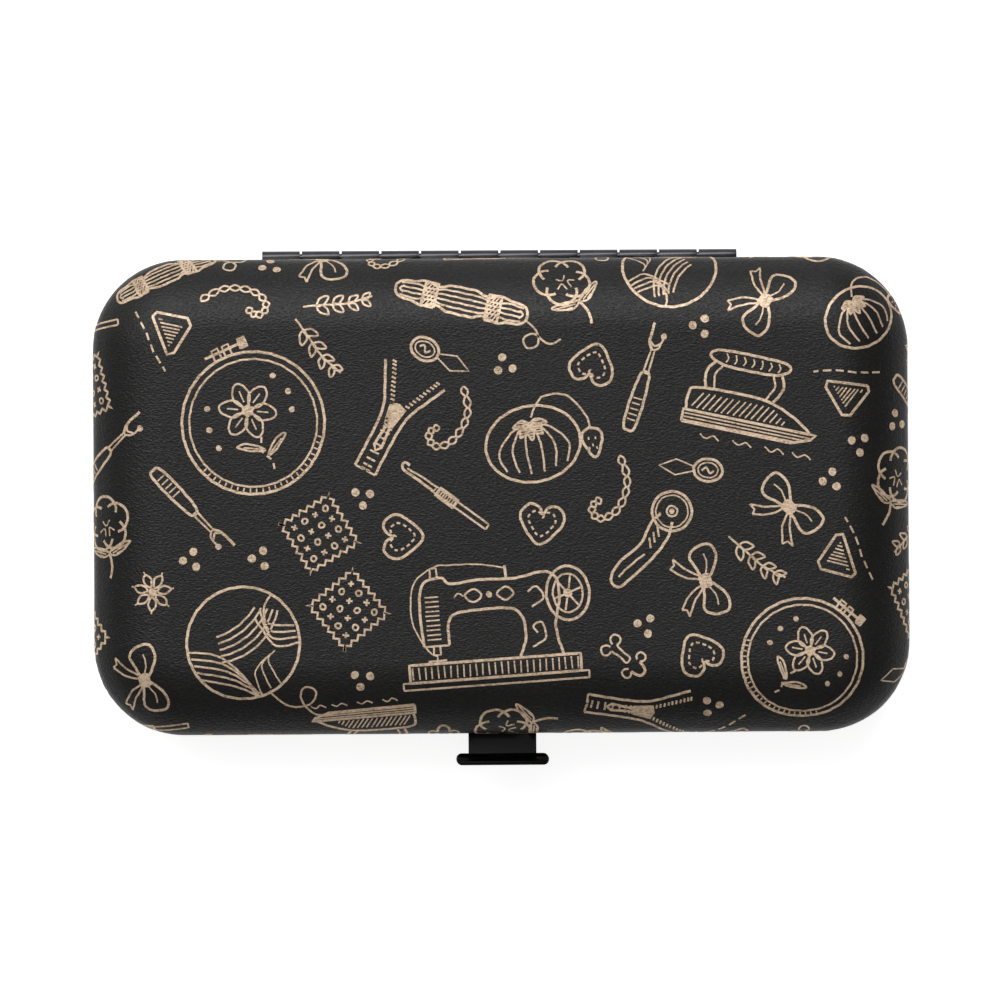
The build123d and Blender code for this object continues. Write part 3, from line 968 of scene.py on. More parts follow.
def dashes(line: Stroke, dash: float, gap: float) -> list[Stroke]:
    """Cuts a line into running stitches.

    Args:
        line: The line.
        dash: Length of a stitch.
        gap: Length between stitches.

    Returns:
        The stitches.
    """
    found: list[Stroke] = []
    current: Stroke = [line[0]]
    left, drawing = dash, True
    for start, end in zip(line, line[1:]):
        span = math.dist(start, end)
        gone = 0.0
        while span - gone > left:
            gone += left
            spot = between(start, end, gone / span)
            if drawing:
                found.append(current + [spot])
            current = [spot]
            drawing = not drawing
            left = dash if drawing else gap
        left -= span - gone
        if drawing:
            current.append(end)
    if drawing and len(current) > 1:
        found.append(current)
    return found


class StrokeWidth(Enum):
    """Widths of the print's strokes in millimetres."""

    BOLD = 0.48
    LINE = 0.35
    FINE = 0.26


BOLD, LINE, FINE = StrokeWidth


def xy(text: str, flip_x: int = 1, flip_y: int = 1) -> Stroke:
    """Points written as "x,y x,y", mirrored where a flip is -1."""
    pairs = (pair.split(",") for pair in text.split())
    return [(flip_x * float(x), flip_y * float(y)) for x, y in pairs]


@dataclass
class Pen:
    """Collects the strokes of one drawing, in millimetres from the drawing's middle."""

    strokes: list[tuple[Stroke, StrokeWidth]] = field(default_factory=list)

    def line(self, points: Stroke | str, width: StrokeWidth = LINE) -> None:
        """Draws straight lines through points."""
        self.strokes.append((xy(points) if isinstance(points, str) else list(points), width))

    def outline(self, points: Stroke, width: StrokeWidth = LINE) -> None:
        """Draws straight lines through points and back to the first."""
        self.line([*points, points[0]], width)

    def curve(self, points: Stroke | str, width: StrokeWidth = LINE, closed: bool = False) -> None:
        """Draws a smooth line through points."""
        self.line(smooth(xy(points) if isinstance(points, str) else points, closed), width)

    def loop(self, points: Stroke | str, width: StrokeWidth = LINE) -> None:
        """Draws a smooth closed line through points."""
        self.curve(points, width, True)

    def ring(self, centre: Point, radius: float, width: StrokeWidth = LINE, squash: float = 1.0) -> None:
        """Draws an ellipse."""
        self.line(arc(centre, radius, 0, 360, squash, max(12, int(radius * 9))), width)

    def dot(self, centre: Point, radius: float = 0.45) -> None:
        """Draws a small filled spot."""
        for turn in (0.5, 1.0) if radius > 0.5 else (0.8,):
            self.ring(centre, radius * turn * 0.8, BOLD)
        self.line(moved([(-radius * 0.4, 0), (radius * 0.4, 0)], centre), BOLD)

    def tick(self, x: float, half: float, width: StrokeWidth = FINE) -> None:
        """Draws a short upright line through the drawing's middle line."""
        self.line([(x, half), (x, -half)], width)

    def spokes(
        self, centre: Point, inner: Point, outer: Point, angles: Iterable[float], width: StrokeWidth
    ) -> None:
        """Draws lines from one ellipse to another.

        Args:
            centre: The centre of both ellipses.
            inner: Half axes of the inner ellipse.
            outer: Half axes of the outer ellipse.
            angles: The lines' angles in degrees.
            width: Width of the lines.
        """
        for angle in map(math.radians, angles):
            spoke = [(x * math.cos(angle), y * math.sin(angle)) for x, y in (inner, outer)]
            self.line([(centre[0] + x, centre[1] + y) for x, y in spoke], width)

    def crosses(self, centre: Point, half: float) -> None:
        """Draws a cross-stitch."""
        for rise in (half, -half):
            self.line([(centre[0] - half, centre[1] - rise), (centre[0] + half, centre[1] + rise)])

    def dashed(self, points: Stroke, dash: float = 1.1, gap: float = 0.75) -> None:
        """Draws running stitches along a line."""
        self.strokes += [(stroke, LINE) for stroke in dashes(points, dash, gap)]

    def hatch(
        self, outline: Stroke, spacing: float, turn: float = 0.0, width: StrokeWidth = FINE, trim: float = 0.0
    ) -> None:
        """Fills an outline with parallel strokes.

        Args:
            outline: The outline to fill.
            spacing: Distance between strokes.
            turn: Direction of the strokes in degrees.
            width: Width of the strokes.
            trim: Length cut from each end.
        """
        turned = moved(outline, turn=-turn)
        low, high = min(y for _, y in turned), max(y for _, y in turned)
        level = low + spacing / 2
        while level < high:
            spots = sorted(
                x0 + (x1 - x0) * (level - y0) / (y1 - y0)
                for (x0, y0), (x1, y1) in zip(turned, turned[1:] + turned[:1])
                if (y0 > level) != (y1 > level)
            )
            for start, end in zip(spots[::2], spots[1::2]):
                if end - start > 2 * trim + 0.25:
                    self.line(moved([(start + trim, level), (end - trim, level)], turn=turn), width)
            level += spacing

    def panel(self, outline: Stroke, edge: StrokeWidth, *hatching: object) -> None:
        """Draws an outline and hatches it."""
        self.outline(outline, edge)
        self.hatch(outline, *hatching)

    def solid(self, outline: Stroke) -> None:
        """Fills an outline without gaps and draws it."""
        self.panel(outline, LINE, 0.36, 0.0, LINE, 0.1)

    def placed(self, shift: Point, scale: float, turn: float) -> "Pen":
        """The same drawing, scaled, turned and shifted."""
        return Pen([(moved(stroke, shift, scale, turn), width) for stroke, width in self.strokes])


def hoop(pen: Pen) -> None:
    """Embroidery hoop with a stitched flower."""
    pen.ring((0, 0), 12.6, BOLD)
    pen.ring((0, 0), 11.3)
    pen.spokes((0, 0), (11.6, 11.6), (12.3, 12.3), (200 + k * 5.4 for k in range(24)), FINE)
    pen.line("-1.6,12.6 -1.6,14.6 -0.4,14.6 -0.4,12.7")
    pen.line("1.6,12.6 1.6,14.6 0.4,14.6 0.4,12.7")
    pen.line([(-3.2, 13.8), (3.4, 13.8)], BOLD)
    pen.solid(xy("3.4,12.9 4.7,12.9 4.7,14.7 3.4,14.7"))
    heart_of = (0, 2.4)
    for turn in range(0, 360, 60):
        pen.loop(moved(xy("0,0.9 1.7,2.6 1.2,5 0,5.9 -1.2,5 -1.7,2.6"), heart_of, 0.86, turn))
        pen.line(moved([(0, 1.9), (0, 4.3)], heart_of, 0.86, turn), FINE)
    pen.dot(heart_of, 0.9)
    pen.dashed(smooth(xy("0.3,-2.8 -0.6,-5.2 0.4,-7.6 -0.2,-9.4")))
    for side, low in ((1, -6.4), (-1, -5.2)):
        pen.loop(moved(xy("0,0 2.2,0.7 4.4,2.4 2.4,2.2", side), (0, low)))
        pen.line(moved(xy("0.3,0.2 3.4,1.9", side), (0, low)), FINE)
    for spot in xy("-7.4,-1.6 7.2,-0.6 -6.4,5.6 6.6,6.2 -7.6,2 7.9,2.6"):
        pen.dot(spot)


def skein(pen: Pen) -> None:
    """Twisted floss skein with two bands and a loose end."""
    for k in range(6):
        level = -2.5 + k
        spread = 0.78 if k in (0, 5) else 1.0
        line = []
        for step in range(15):
            x = -12 + 24 * step / 14
            pinch = 1 - 0.34 * math.exp(-((abs(x) - 6.2) ** 2) / 3.2)
            end = math.sqrt(max(1 - (abs(x) / 13.4) ** 8, 0.05))
            line.append((x * spread, level * 1.12 * pinch * end))
        pen.curve(line, width=BOLD if k in (0, 5) else LINE)
    for side in (-1, 1):
        pen.curve(xy("9.3,2.2 12.2,1.7 13,0 12.2,-1.7 9.3,-2.2", side), BOLD)
        pen.curve(xy("11.4,0.8 12.1,0 11.4,-0.8", side))
        pen.panel(xy("5,-2.6 7.5,-2.6 7.5,2.6 5,2.6", side), BOLD, 0.62, 62, FINE, 0.1)
    pen.curve("12.8,-0.8 15.2,-2.2 16.3,-4.6 14.6,-6 13.3,-4.4 15,-3 18.2,-4.2 20.4,-2.8")


def yarn(pen: Pen) -> None:
    """Ball of yarn with a trailing end."""
    pen.ring((0, 0), 10.4, BOLD)
    for k in range(5):
        pen.line(arc((-7.5 - k * 1.1, 7.0 + k * 1.0), 12.2 + k * 0.2, -68 + k * 2.5, 2 - k * 5.0))
    strands = (
        (5, 1.9, LINE, "-9.4,-4 -4,-3.4 1.4,-5.8 4.6,-9", "0.42,-0.58 0.6,-0.62 0.5,-0.4 0.1,0.12"),
        (4, 1.75, LINE, "9.9,2.6 6,1 2.7,3.4 1,5", "-0.3,0.55 -0.5,0.7 -0.1,0.8 0.35,0.95"),
        (3, 1.5, FINE, "5.4,-8.2 3.4,-4.6 4.8,-1.4", "1,0.9 0.6,0.9 0.4,0.5"),
    )
    for count, step, width, first, drift in strands:
        ways = list(zip(xy(first), xy(drift)))
        for gone in (step * k for k in range(count)):
            pen.curve([(x + gone * dx, y + gone * dy) for (x, y), (dx, dy) in ways], width)
    pen.curve("7,-7.7 11,-9.6 14.6,-8.4 15.2,-5.6 13,-5.2 12.8,-7.6 16.2,-10.2 20.6,-8.8")


def machine(pen: Pen) -> None:
    """Old sewing machine with a hand wheel."""
    base = xy("-15.5,-11 15.5,-11 15.5,-7.8 -15.5,-7.8")
    pen.outline(base, BOLD)
    pen.line("-16.8,-12.3 16.8,-12.3 16.8,-11 -16.8,-11 -16.8,-12.3")
    pen.hatch(base, 1.15, 90, FINE, 0.5)
    arm = "-12.6,-4.6 -12.9,1.2 -12.6,5.4 -11.4,7.2 -8.6,7.6 -7,6.4 -2,6.8 4.6,6.6"
    pen.curve(arm + " 9.6,7.4 12,6.2 12.4,2.4 11.4,-2.6 12.4,-7.6", BOLD)
    pen.curve("4.6,-7.6 5.8,-4.6 5.6,-0.8 3.6,1.2 -2,1.4 -6.4,1 -7.9,-0.6 -8,-4.6", BOLD)
    pen.line([(-12.6, -4.6), (-8.0, -4.6)])
    pen.line("-10.9,-4.6 -10.9,-6.2 -9.7,-6.2 -9.7,-4.6")
    pen.line([(-10.3, -6.2), (-10.3, -7.6)], FINE)
    pen.line([(-12.0, -7.3), (-8.6, -7.3)])
    wheel = (14.0, 3.2)
    pen.ring(wheel, 3.9, BOLD, 1.25)
    pen.ring(wheel, 2.7, LINE, 1.3)
    pen.spokes(wheel, (0.7, 0.9), (2.5, 3.2), range(15, 375, 60), LINE)
    pen.dot(wheel, 0.7)
    pen.loop("-4.6,4 -3,5.2 -1.6,4 -3,2.8")
    pen.loop("1.2,4 2.8,5.2 4.2,4 2.8,2.8")
    pen.curve("-6.6,3.8 -5.8,4.6 -4.8,4", FINE)
    pen.dot((-0.2, 4.0), 0.5)
    pen.curve("7,-6 9.4,-4.6 9,-1.8 7.4,-2.2 8,-3.6")
    pen.curve("7.4,1.2 9.6,2.8 8.4,4.8 6.8,4")
    pen.line("-10.6,7.6 -10.6,9.4 -9.4,9.4 -9.4,7.6")
    pen.line([(3.0, 6.8), (3.0, 9.0)], BOLD)
    pen.curve("3,8.6 -2,9.6 -7,9.8 -10,9.6 -13.8,6.6 -14.4,0 -12,-5.2 -10.4,-6.4", FINE)
    pen.hatch(xy("-12.1,-3.8 -9.2,-3.8 -9.2,4.6 -12.1,4.6"), 0.85, 0, FINE, 0.2)


def iron(pen: Pen) -> None:
    """Flat iron with a wooden handle."""
    pen.panel(xy("-11.6,-5.6 8.6,-5.6 12,-4.4 12.9,-3.4 -11.6,-3.4"), BOLD, 0.6, 0, FINE, 0.3)
    pen.curve("-11.2,-3.4 -11.3,-0.6 -10.2,0.8 -4,1.2 3,0.9 8.2,-1 11.6,-3.2", BOLD)
    pen.hatch(xy("-10.4,-2.9 8,-2.9 4.2,0 -9.6,0.2"), 0.95, 58, FINE, 0.1)
    pen.curve("-8.4,1 -8.9,4 -7.4,6.4", BOLD)
    pen.curve("-6.9,1.2 -7.2,3.8 -6.2,5.6")
    pen.curve("4,0.9 5.4,3.6 4.6,6.4", BOLD)
    pen.curve("2.6,1.1 3.8,3.6 3.2,5.6")
    pen.loop("-8.6,6.9 -6,5.8 -1.6,5.6 3.4,5.8 5.8,6.9 5.2,8.2 0.6,8.5 -4.6,8.5 -8,8.1", BOLD)
    for x in (-5.8, -4.2, -2.6, -1.0, 0.6, 2.2, 3.8):
        pen.curve([(x, 6.3), (x + 0.35, 7.1), (x, 7.9)], FINE)
    for x in (-6, 0, 6, 11):
        pen.curve([(x - 1.8, -7.2), (x - 0.6, -7.9), (x + 0.6, -7.2), (x + 1.8, -7.9)], FINE)


def cushion(pen: Pen) -> None:
    """Round stuffed pincushion with a leaf cap and a hanging strawberry."""
    pen.ring((0, 0), 8.6, BOLD, 0.8)
    for bend in (-6.4, -3.9, -1.4, 1.4, 3.9, 6.4):
        pen.curve([(0, 3.9), (bend * 0.55, 2.6), (bend, -0.8), (bend * 0.86, -5.6 + abs(bend) * 0.22)])
    for k in range(5):
        leaf = moved(xy("0,0.3 0.95,1.6 0,3.9 -0.95,1.6"), (0, 3.8), 0.8, 180 + 42 * (k - 2))
        pen.loop(leaf)
        pen.hatch(leaf, 0.45, 0, FINE)
    pen.curve("0.4,4.8 3,8 7.4,7.6 10.2,3.6 10.6,1.2")
    pen.loop("10.6,1 12.3,0.2 12.3,-1.8 10.7,-4.4 9.1,-1.8 9,0.2", BOLD)
    for x, y in xy("10,-0.6 11.3,-0.7 10.6,-1.9 9.9,-2.4 11.3,-2.5"):
        pen.line([(x, y), (x, y - 0.5)], FINE)


def ripper(pen: Pen) -> None:
    """Seam ripper."""
    pen.loop("-9.6,0 -9,1 -5,1.25 -0.6,1 1.2,0.6 1.2,-0.6 -0.6,-1 -5,-1.25 -9,-1", BOLD)
    for x in (-7.6, -6.6, -5.6, -4.6, -3.6):
        pen.tick(x, 0.8)
    pen.outline(xy("1.2,0.45 5.6,0.3 5.6,-0.3 1.2,-0.45"))
    pen.curve("5.6,0.2 7,1 10.4,1.1", BOLD)
    pen.curve("5.6,-0.2 6.4,-1 8.2,-1.2")
    pen.curve("7,0.9 6.4,0 7,-1")
    pen.dot((8.5, -1.2), 0.5)


def hook(pen: Pen) -> None:
    """Crochet hook with a thumb rest."""
    pen.line("-9.6,0.55 2,0.55 2,-0.55 -9.6,-0.55")
    pen.tick(-9.6, 0.55, LINE)
    pen.panel(xy("-2.6,0.9 1.4,0.9 1.4,-0.9 -2.6,-0.9"), LINE, 0.5, 90, FINE, 0.1)
    pen.curve("2,0.5 5.6,0.4 8,0.5 9.3,0.1 9.2,-0.8 8.2,-0.9", BOLD)
    pen.curve("2,-0.5 5.2,-0.45 7.2,-0.2 8.3,-0.2")


def cutter(pen: Pen) -> None:
    """Rotary cutter."""
    blade = (6.6, 2.6)
    for radius, width in ((3.7, BOLD), (3.0, FINE), (1.0, LINE)):
        pen.ring(blade, radius, width)
    pen.dot(blade)
    pen.curve("4.6,3.4 2,2.8 -1.6,0.6 -6.8,-0.2 -9.8,-2 -9.4,-4 -6.2,-3.8 -1,-2.8 3.2,-1.2 5.6,0.9", BOLD)
    pen.curve("-8.4,-2.4 -5.6,-1.8 -2,-1.4")
    for x in (-0.4, 0.8, 2.0):
        pen.line([(x, -0.9 + x * 0.4), (x + 0.8, 0.9 + x * 0.4)])


def zip_pull(pen: Pen) -> None:
    """Open zip with its slider and pull."""
    for side in (-1, 1):
        for x, y in smooth(xy("-11.6,0.5 -3,0.5 2,1.1 7,3.2 11.4,5.2", 1, side))[:-1]:
            pen.line([(x, y - side * 0.42), (x, y + side * 0.5)])
        pen.curve(xy("-11.8,2.3 -3,2.3 2,2.9 6.4,4.9 10.4,6.9", 1, side), BOLD)
        pen.line(xy("-11.8,2.3 -11.8,0.3", 1, side))
    pen.solid(xy("-1.4,0.9 2.8,1.7 3.4,0 2.8,-1.7 -1.4,-0.9"))
    pen.line("-1,0 -2.2,0.5 -6.2,0.8 -7.2,0 -6.2,-0.8 -2.2,-0.5 -1,0", BOLD)


def bow(pen: Pen) -> None:
    """Ribbon bow."""
    for side in (-1, 1):
        pen.curve(xy("0,0.5 3.2,2.9 6,2.7 6.3,0.2 5,-1.6 2.2,-0.9 0,-0.4", side), BOLD)
        pen.curve(xy("1,0.2 3,1.1 4.8,1", side), FINE)
        pen.curve(xy("0.5,-0.8 1.6,-3.4 3.8,-5.6", side))
        pen.curve(xy("1.2,-0.9 3.1,-3 5.4,-4.6", side))
        pen.line(xy("3.8,-5.6 4.2,-4.7 5.4,-4.6", side))
    pen.solid(xy("-1,0.9 1,0.9 1.2,0 0.9,-1 -0.9,-1 -1.2,0"))


def patch(pen: Pen) -> None:
    """Square of cloth with pinked edges and dots."""
    half, teeth, pitch = 5.4, 7, 2.2
    edge: Stroke = []
    for (x, y), (dx, dy) in zip(xy("1,1 -1,1 -1,-1 1,-1"), xy("-1,0 0,-1 1,0 0,1")):
        for tooth in range(teeth):
            for part, depth in ((0.0, 0.0), (0.5, 0.75)):
                gone = (tooth + part) / teeth * 2 * half
                edge.append((x * half + dx * gone - dy * depth, y * half + dy * gone + dx * depth))
    pen.outline(edge, BOLD)
    for place in range(16):
        spot = (-3.3 + pitch * (place % 4), -3.3 + pitch * (place // 4))
        if (place // 4 + place) % 2:
            pen.ring(spot, 0.5)
        else:
            pen.crosses(spot, 0.4)


def boll(pen: Pen) -> None:
    """Cotton boll on its twig."""
    for angle in (20, 90, 160, 235, 305):
        x, y = 2.5 * math.cos(math.radians(angle)), 2.5 * math.sin(math.radians(angle))
        pen.line(arc((x, y + 1.4), 2.7, angle - 105, angle + 105), BOLD)
    for places in ("-0.9,2 0,1.1 0.9,2", "-1.8,0 -0.6,0.6 -0.4,-0.9", "1.8,0 0.7,0.6 0.5,-0.9"):
        pen.curve(places, FINE)
    for side in (-1, 1):
        leaf = xy("0,-4 1.9,-4.6 4.9,-2.6 2.8,-2.7", side)
        pen.loop(leaf)
        pen.hatch(leaf, 0.5, side * 20, FINE, 0.1)
    pen.curve("0,-4 0.3,-6.4 -0.4,-8.8", BOLD)


def chalk(pen: Pen) -> None:
    """Piece of tailor's chalk with a drawn line."""
    pen.outline(xy("-3.8,-1.9 3.6,-2.6 3.9,-1.4 0.9,3.5 -0.6,3.6 -4.1,-0.9"), BOLD)
    pen.hatch(xy("-2.9,-1.1 2.6,-1.7 0.2,2.3"), 0.62, 52)
    pen.dashed(xy("-6.2,-4.4 -1.6,-4.2 2.4,-4.6 6.2,-4.2"), 1.5, 0.8)


def threader(pen: Pen) -> None:
    """Needle threader with its wire loop."""
    pen.ring((-2.6, 0), 2.7, BOLD, 0.78)
    pen.ring((-2.6, 0), 1.9, FINE, 0.74)
    pen.curve("-3.7,0 -3,0.6 -2.2,-0.5 -1.5,0.2")
    pen.line("0,0.35 3.4,1.5 6.6,0 3.4,-1.5 0,-0.35", FINE)


def hook_and_eye(pen: Pen) -> None:
    """Dress hook beside its eye."""
    pen.line(arc((-3.0, 1.3), 0.95, -30, 280))
    pen.line(arc((-3.0, -1.3), 0.95, 80, 390))
    pen.curve("-2.2,0.8 -0.6,0.55 1.2,0.6 1.5,0 1.2,-0.6 -0.6,-0.55 -2.2,-0.8")
    pen.line(arc((2.7, 2.0), 0.85, -60, 250))
    pen.line(arc((2.7, -2.0), 0.85, 110, 420))
    pen.curve("3.1,1.2 4.6,0.9 5.1,0 4.6,-0.9 3.1,-1.2", BOLD)


def daisy(pen: Pen) -> None:
    """Lazy-daisy flower."""
    for turn in (360 * k / 7 for k in range(7)):
        pen.loop(moved(xy("0,0.9 0.75,2.3 0,3.5 -0.75,2.3"), turn=turn))
        pen.line(moved([(0, 3.4), (0, 4.1)], turn=turn), FINE)
    pen.dot((0, 0), 0.6)


def sprig(pen: Pen) -> None:
    """Stitched sprig of leaves."""
    pen.curve("-6.4,-1.4 -2.4,-0.6 1.8,0.2 6.2,2.2")
    for k, place in enumerate(xy("-3.8,-0.9 -0.9,-0.3 2,0.3 4.4,1.2")):
        for turn in (-118, -38):
            pen.loop(moved(xy("0,0 0.8,1.1 0.2,2.9 -0.7,1.4"), place, 0.95 - 0.08 * k, turn))


def cross_star(pen: Pen) -> None:
    """Star of cross-stitches."""
    spots = "0,0 1,0 -1,0 0,1 0,-1 2,0 -2,0 0,2 0,-2 -1,-1 -1,1 1,-1 1,1"
    for x, y in xy(spots):
        pen.crosses((x * 1.45, y * 1.45), 0.5)


def heart(pen: Pen) -> None:
    """Heart of running stitches inside a drawn heart."""
    outline = xy("0,-4.1 3.3,-1 4.1,1.4 2.7,3.2 0.9,2.9 0,1.6 -0.9,2.9 -2.7,3.2 -4.1,1.4 -3.3,-1")
    pen.loop(outline, BOLD)
    pen.dashed(smooth([(0.62 * x, 0.62 * y) for x, y in outline], True), 0.7, 0.55)


def chain(pen: Pen) -> None:
    """Curl of chain stitches."""
    spine = smooth(xy("-7.2,-2 -4.2,0.8 -0.4,1.7 3.4,0.9 5.2,-1.6 3.4,-3.4 1.6,-2.2"), steps=4)
    for start, end in zip(spine[:-2:2], spine[2::2]):
        along = Vector((end[0] - start[0], end[1] - start[1]))
        side = Vector((-along.y, along.x)).normalized() * 0.62
        middle = (Vector(start) + Vector(end)) / 2
        pen.loop([start, tuple(middle + side), end, tuple(middle - side)])


def knots(pen: Pen) -> None:
    """Three French knots."""
    for spot in xy("-1.5,-0.8 1.5,-0.7 0.1,1.6"):
        pen.ring(spot, 0.62)
        pen.dot(spot, 0.3)


Drawing = Callable[[Pen], None]


def sketched(drawing: Drawing) -> Pen:
    """A pen that has drawn one drawing."""
    pen = Pen()
    drawing(pen)
    return pen


@dataclass(frozen=True)
class Placing:
    """Where one drawing lies on the sheet."""

    drawing: Drawing
    place: Point
    turn: float
    scale: float


LARGE_DRAWINGS = {
    Half.LID: (
        Placing(machine, (-2.0, -21.5), 4, 0.98),
        Placing(hoop, (-44.0, 13.0), 24, 1.0),
        Placing(skein, (-7.0, 34.5), -14, 0.92),
        Placing(iron, (44.0, 16.0), -12, 0.98),
        Placing(yarn, (-46.0, -26.0), -14, 0.96),
        Placing(hoop, (53.0, -29.5), -40, 0.86),
        Placing(cushion, (5.5, 9.0), 10, 0.98),
        Placing(zip_pull, (-19.5, 13.5), 62, 0.86),
        Placing(cutter, (26.0, -8.5), 32, 0.95),
        Placing(yarn, (30.0, 41.5), 190, 0.8),
        Placing(boll, (-71.0, -6.0), 8, 0.95),
        Placing(skein, (-60.0, 40.5), 26, 0.78),
        Placing(boll, (71.0, 2.0), -20, 0.95),
        Placing(zip_pull, (24.0, -39.0), -10, 0.8),
        Placing(iron, (-24.0, -42.5), 186, 0.75),
        Placing(cushion, (64.0, 31.5), 30, 0.8),
    ),
    Half.BASE: (
        Placing(machine, (24.0, 4.0), -10, 1.0),
        Placing(hoop, (-40.0, -14.0), 30, 1.05),
        Placing(skein, (-14.0, 32.0), 12, 0.92),
        Placing(iron, (-8.0, -22.0), 10, 0.95),
        Placing(yarn, (53.0, -20.0), 20, 0.95),
        Placing(cushion, (-44.0, 24.0), -12, 0.95),
        Placing(hoop, (55.0, 24.0), -20, 0.82),
        Placing(zip_pull, (26.0, -38.0), 14, 0.8),
    ),
}

SMALL_DRAWINGS: tuple[tuple[tuple[Drawing, ...], int, float], ...] = (
    ((patch, ripper, bow, hook, boll, chalk), 1500, 0.98),
    ((heart, sprig, chain, hook_and_eye, threader, daisy), 2600, 0.95),
    ((daisy, cross_star, heart, hook_and_eye), 2200, 0.85),
    ((knots,), 1500, 0.9),
)


@dataclass
class FoilPrint:
    """Foil print on both halves: drawings laid out on the flat sheet and wrapped over the case."""

    form: CaseForm
    gap: float = 2.3
    rise: float = 0.03
    depth: float = 0.06
    seed: int = 12
    wobble: float = 0.035
    layer: float = 0.0012
    layers: int = 12
    latch_room: float = 7.2
    latch_gap: float = 1.2
    bent_step: float = 0.6
    flat_step: float = 1.5
    finest: float = 0.05
    sampling: float = 0.7

    def printed(self, half: Half, place: Point) -> bool:
        """Whether a place on the sheet is printed: the print ends at the frame and above the latch."""
        at_latch = half is Half.BASE and place[1] < 0 and abs(place[0]) < self.latch_room
        return self.form.reach(place) <= self.form.sheet_reach - self.latch_gap * at_latch

    def wavered(self, stroke: Stroke, phase: float) -> Stroke:
        """Gives a stroke the small waver of a hand-cut plate."""
        found = []
        gone = 0.0
        last = stroke[0]
        for x, y in stroke:
            gone += math.dist(last, (x, y))
            last = (x, y)
            sway = math.sin(gone * 2.1 + phase) + 0.8 * math.sin(gone * 4.7 + phase * 2.3)
            found.append((x + self.wobble * sway, y + self.wobble * math.cos(gone * 2.6 + phase)))
        return found

    def divided(self, half: Half, stroke: Stroke) -> list[Stroke]:
        """Divides a stroke finely where the sheet bends, and cuts it where the print ends.

        Args:
            half: Which half.
            stroke: The stroke on the sheet.

        Returns:
            The parts that are printed.
        """
        points = [stroke[0]]
        for start, end in zip(stroke, stroke[1:]):
            bent = max(self.form.reach(start), self.form.reach(end)) > self.form.flat_reach
            step = self.bent_step if bent else self.flat_step
            count = max(1, math.ceil(math.dist(start, end) / step))
            points += [between(start, end, k / count) for k in range(1, count + 1)]
        parts: list[Stroke] = [[]]
        for point in points:
            if not self.printed(half, point):
                parts.append([])
            elif not parts[-1] or math.dist(parts[-1][-1], point) > self.finest:
                parts[-1].append(point)
        return [part for part in parts if len(part) > 1]

    def lay_out(self, half: Half) -> list[tuple[Stroke, StrokeWidth]]:
        """Lays the drawings out: large ones where listed and small ones wherever there is room.

        Args:
            half: Which half.

        Returns:
            All strokes on the sheet.
        """
        chance = random.Random(self.seed + half.value)
        taken: set[tuple[int, int]] = set()
        strokes: list[tuple[Stroke, StrokeWidth]] = []
        near = range(-3, 4)
        spread = [(dx, dy) for dx in near for dy in near if math.hypot(dx, dy) <= self.gap]

        def cells(pen: Pen) -> set[tuple[int, int]]:
            """Millimetre cells that a drawing's strokes touch, sampled along them."""
            found = set()
            for stroke, _ in pen.strokes:
                for start, end in zip(stroke, stroke[1:]):
                    count = max(1, math.ceil(math.dist(start, end) / self.sampling))
                    spots = (between(start, end, k / count) for k in range(count + 1))
                    found.update((round(x), round(y)) for x, y in spots)
            return found

        def claim(placed: Pen) -> None:
            """Claims the room round a placed drawing."""
            taken.update((x + dx, y + dy) for x, y in cells(placed) for dx, dy in spread)
            strokes.extend(placed.strokes)

        for placing in LARGE_DRAWINGS[half]:
            claim(sketched(placing.drawing).placed(placing.place, placing.scale, placing.turn))
        half_x, half_y = (centre + self.form.sheet_reach for centre in self.form.corner)
        for drawings, tries, scale in SMALL_DRAWINGS:
            waiting = cycle([sketched(drawing) for drawing in drawings])
            sketch = next(waiting)
            for _ in range(tries):
                place = (chance.uniform(-half_x, half_x), chance.uniform(-half_y, half_y))
                angle = chance.uniform(-180, 180)
                if self.form.reach(place) > self.form.sheet_reach:
                    continue
                placed = sketch.placed(place, scale, angle)
                if not cells(placed) & taken:
                    claim(placed)
                    sketch = next(waiting)
        return strokes

    def wrapped(self, half: Half, name: str, lines: list[Stroke], width: StrokeWidth) -> Piece:
        """Sweeps strokes into ribbons on the flat sheet and wraps them over the half.

        Args:
            half: Which half.
            name: The piece's name.
            lines: The strokes.
            width: Their width.

        Returns:
            The wrapped print.
        """
        levels = (self.layer * (k % self.layers) for k in range(len(lines)))
        layered = [[(x, y, level) for x, y in line] for line, level in zip(lines, levels)]
        values = {"Width": width.value * MM, "Height": self.depth * MM, "Finish": Finish.FOIL.material}
        piece = grow(route(name, layered), ribbon_tree(), values)
        step = list(StrokeWidth).index(width) * self.layer / 3
        for vertex in piece.data.vertices:
            x, y, z = (value / MM for value in vertex.co)
            vertex.co = self.form.wrap(half, (x, y), z - self.depth / 2 + self.rise + step) * MM
        return tidy_mesh(piece, 50, 1e-8)

    def build(self) -> None:
        """Prints both halves."""
        for half in Half:
            chance = random.Random(self.seed)
            by_width: dict[StrokeWidth, list[Stroke]] = {width: [] for width in StrokeWidth}
            for stroke, width in self.lay_out(half):
                by_width[width] += self.divided(half, self.wavered(stroke, chance.uniform(0, 6)))
            for width, lines in by_width.items():
                piece = self.wrapped(half, f"{half.body}_foil_{width.name.lower()}", lines, width)
                hand_over(piece, half.body, "black_leather")


# Geometry Nodes


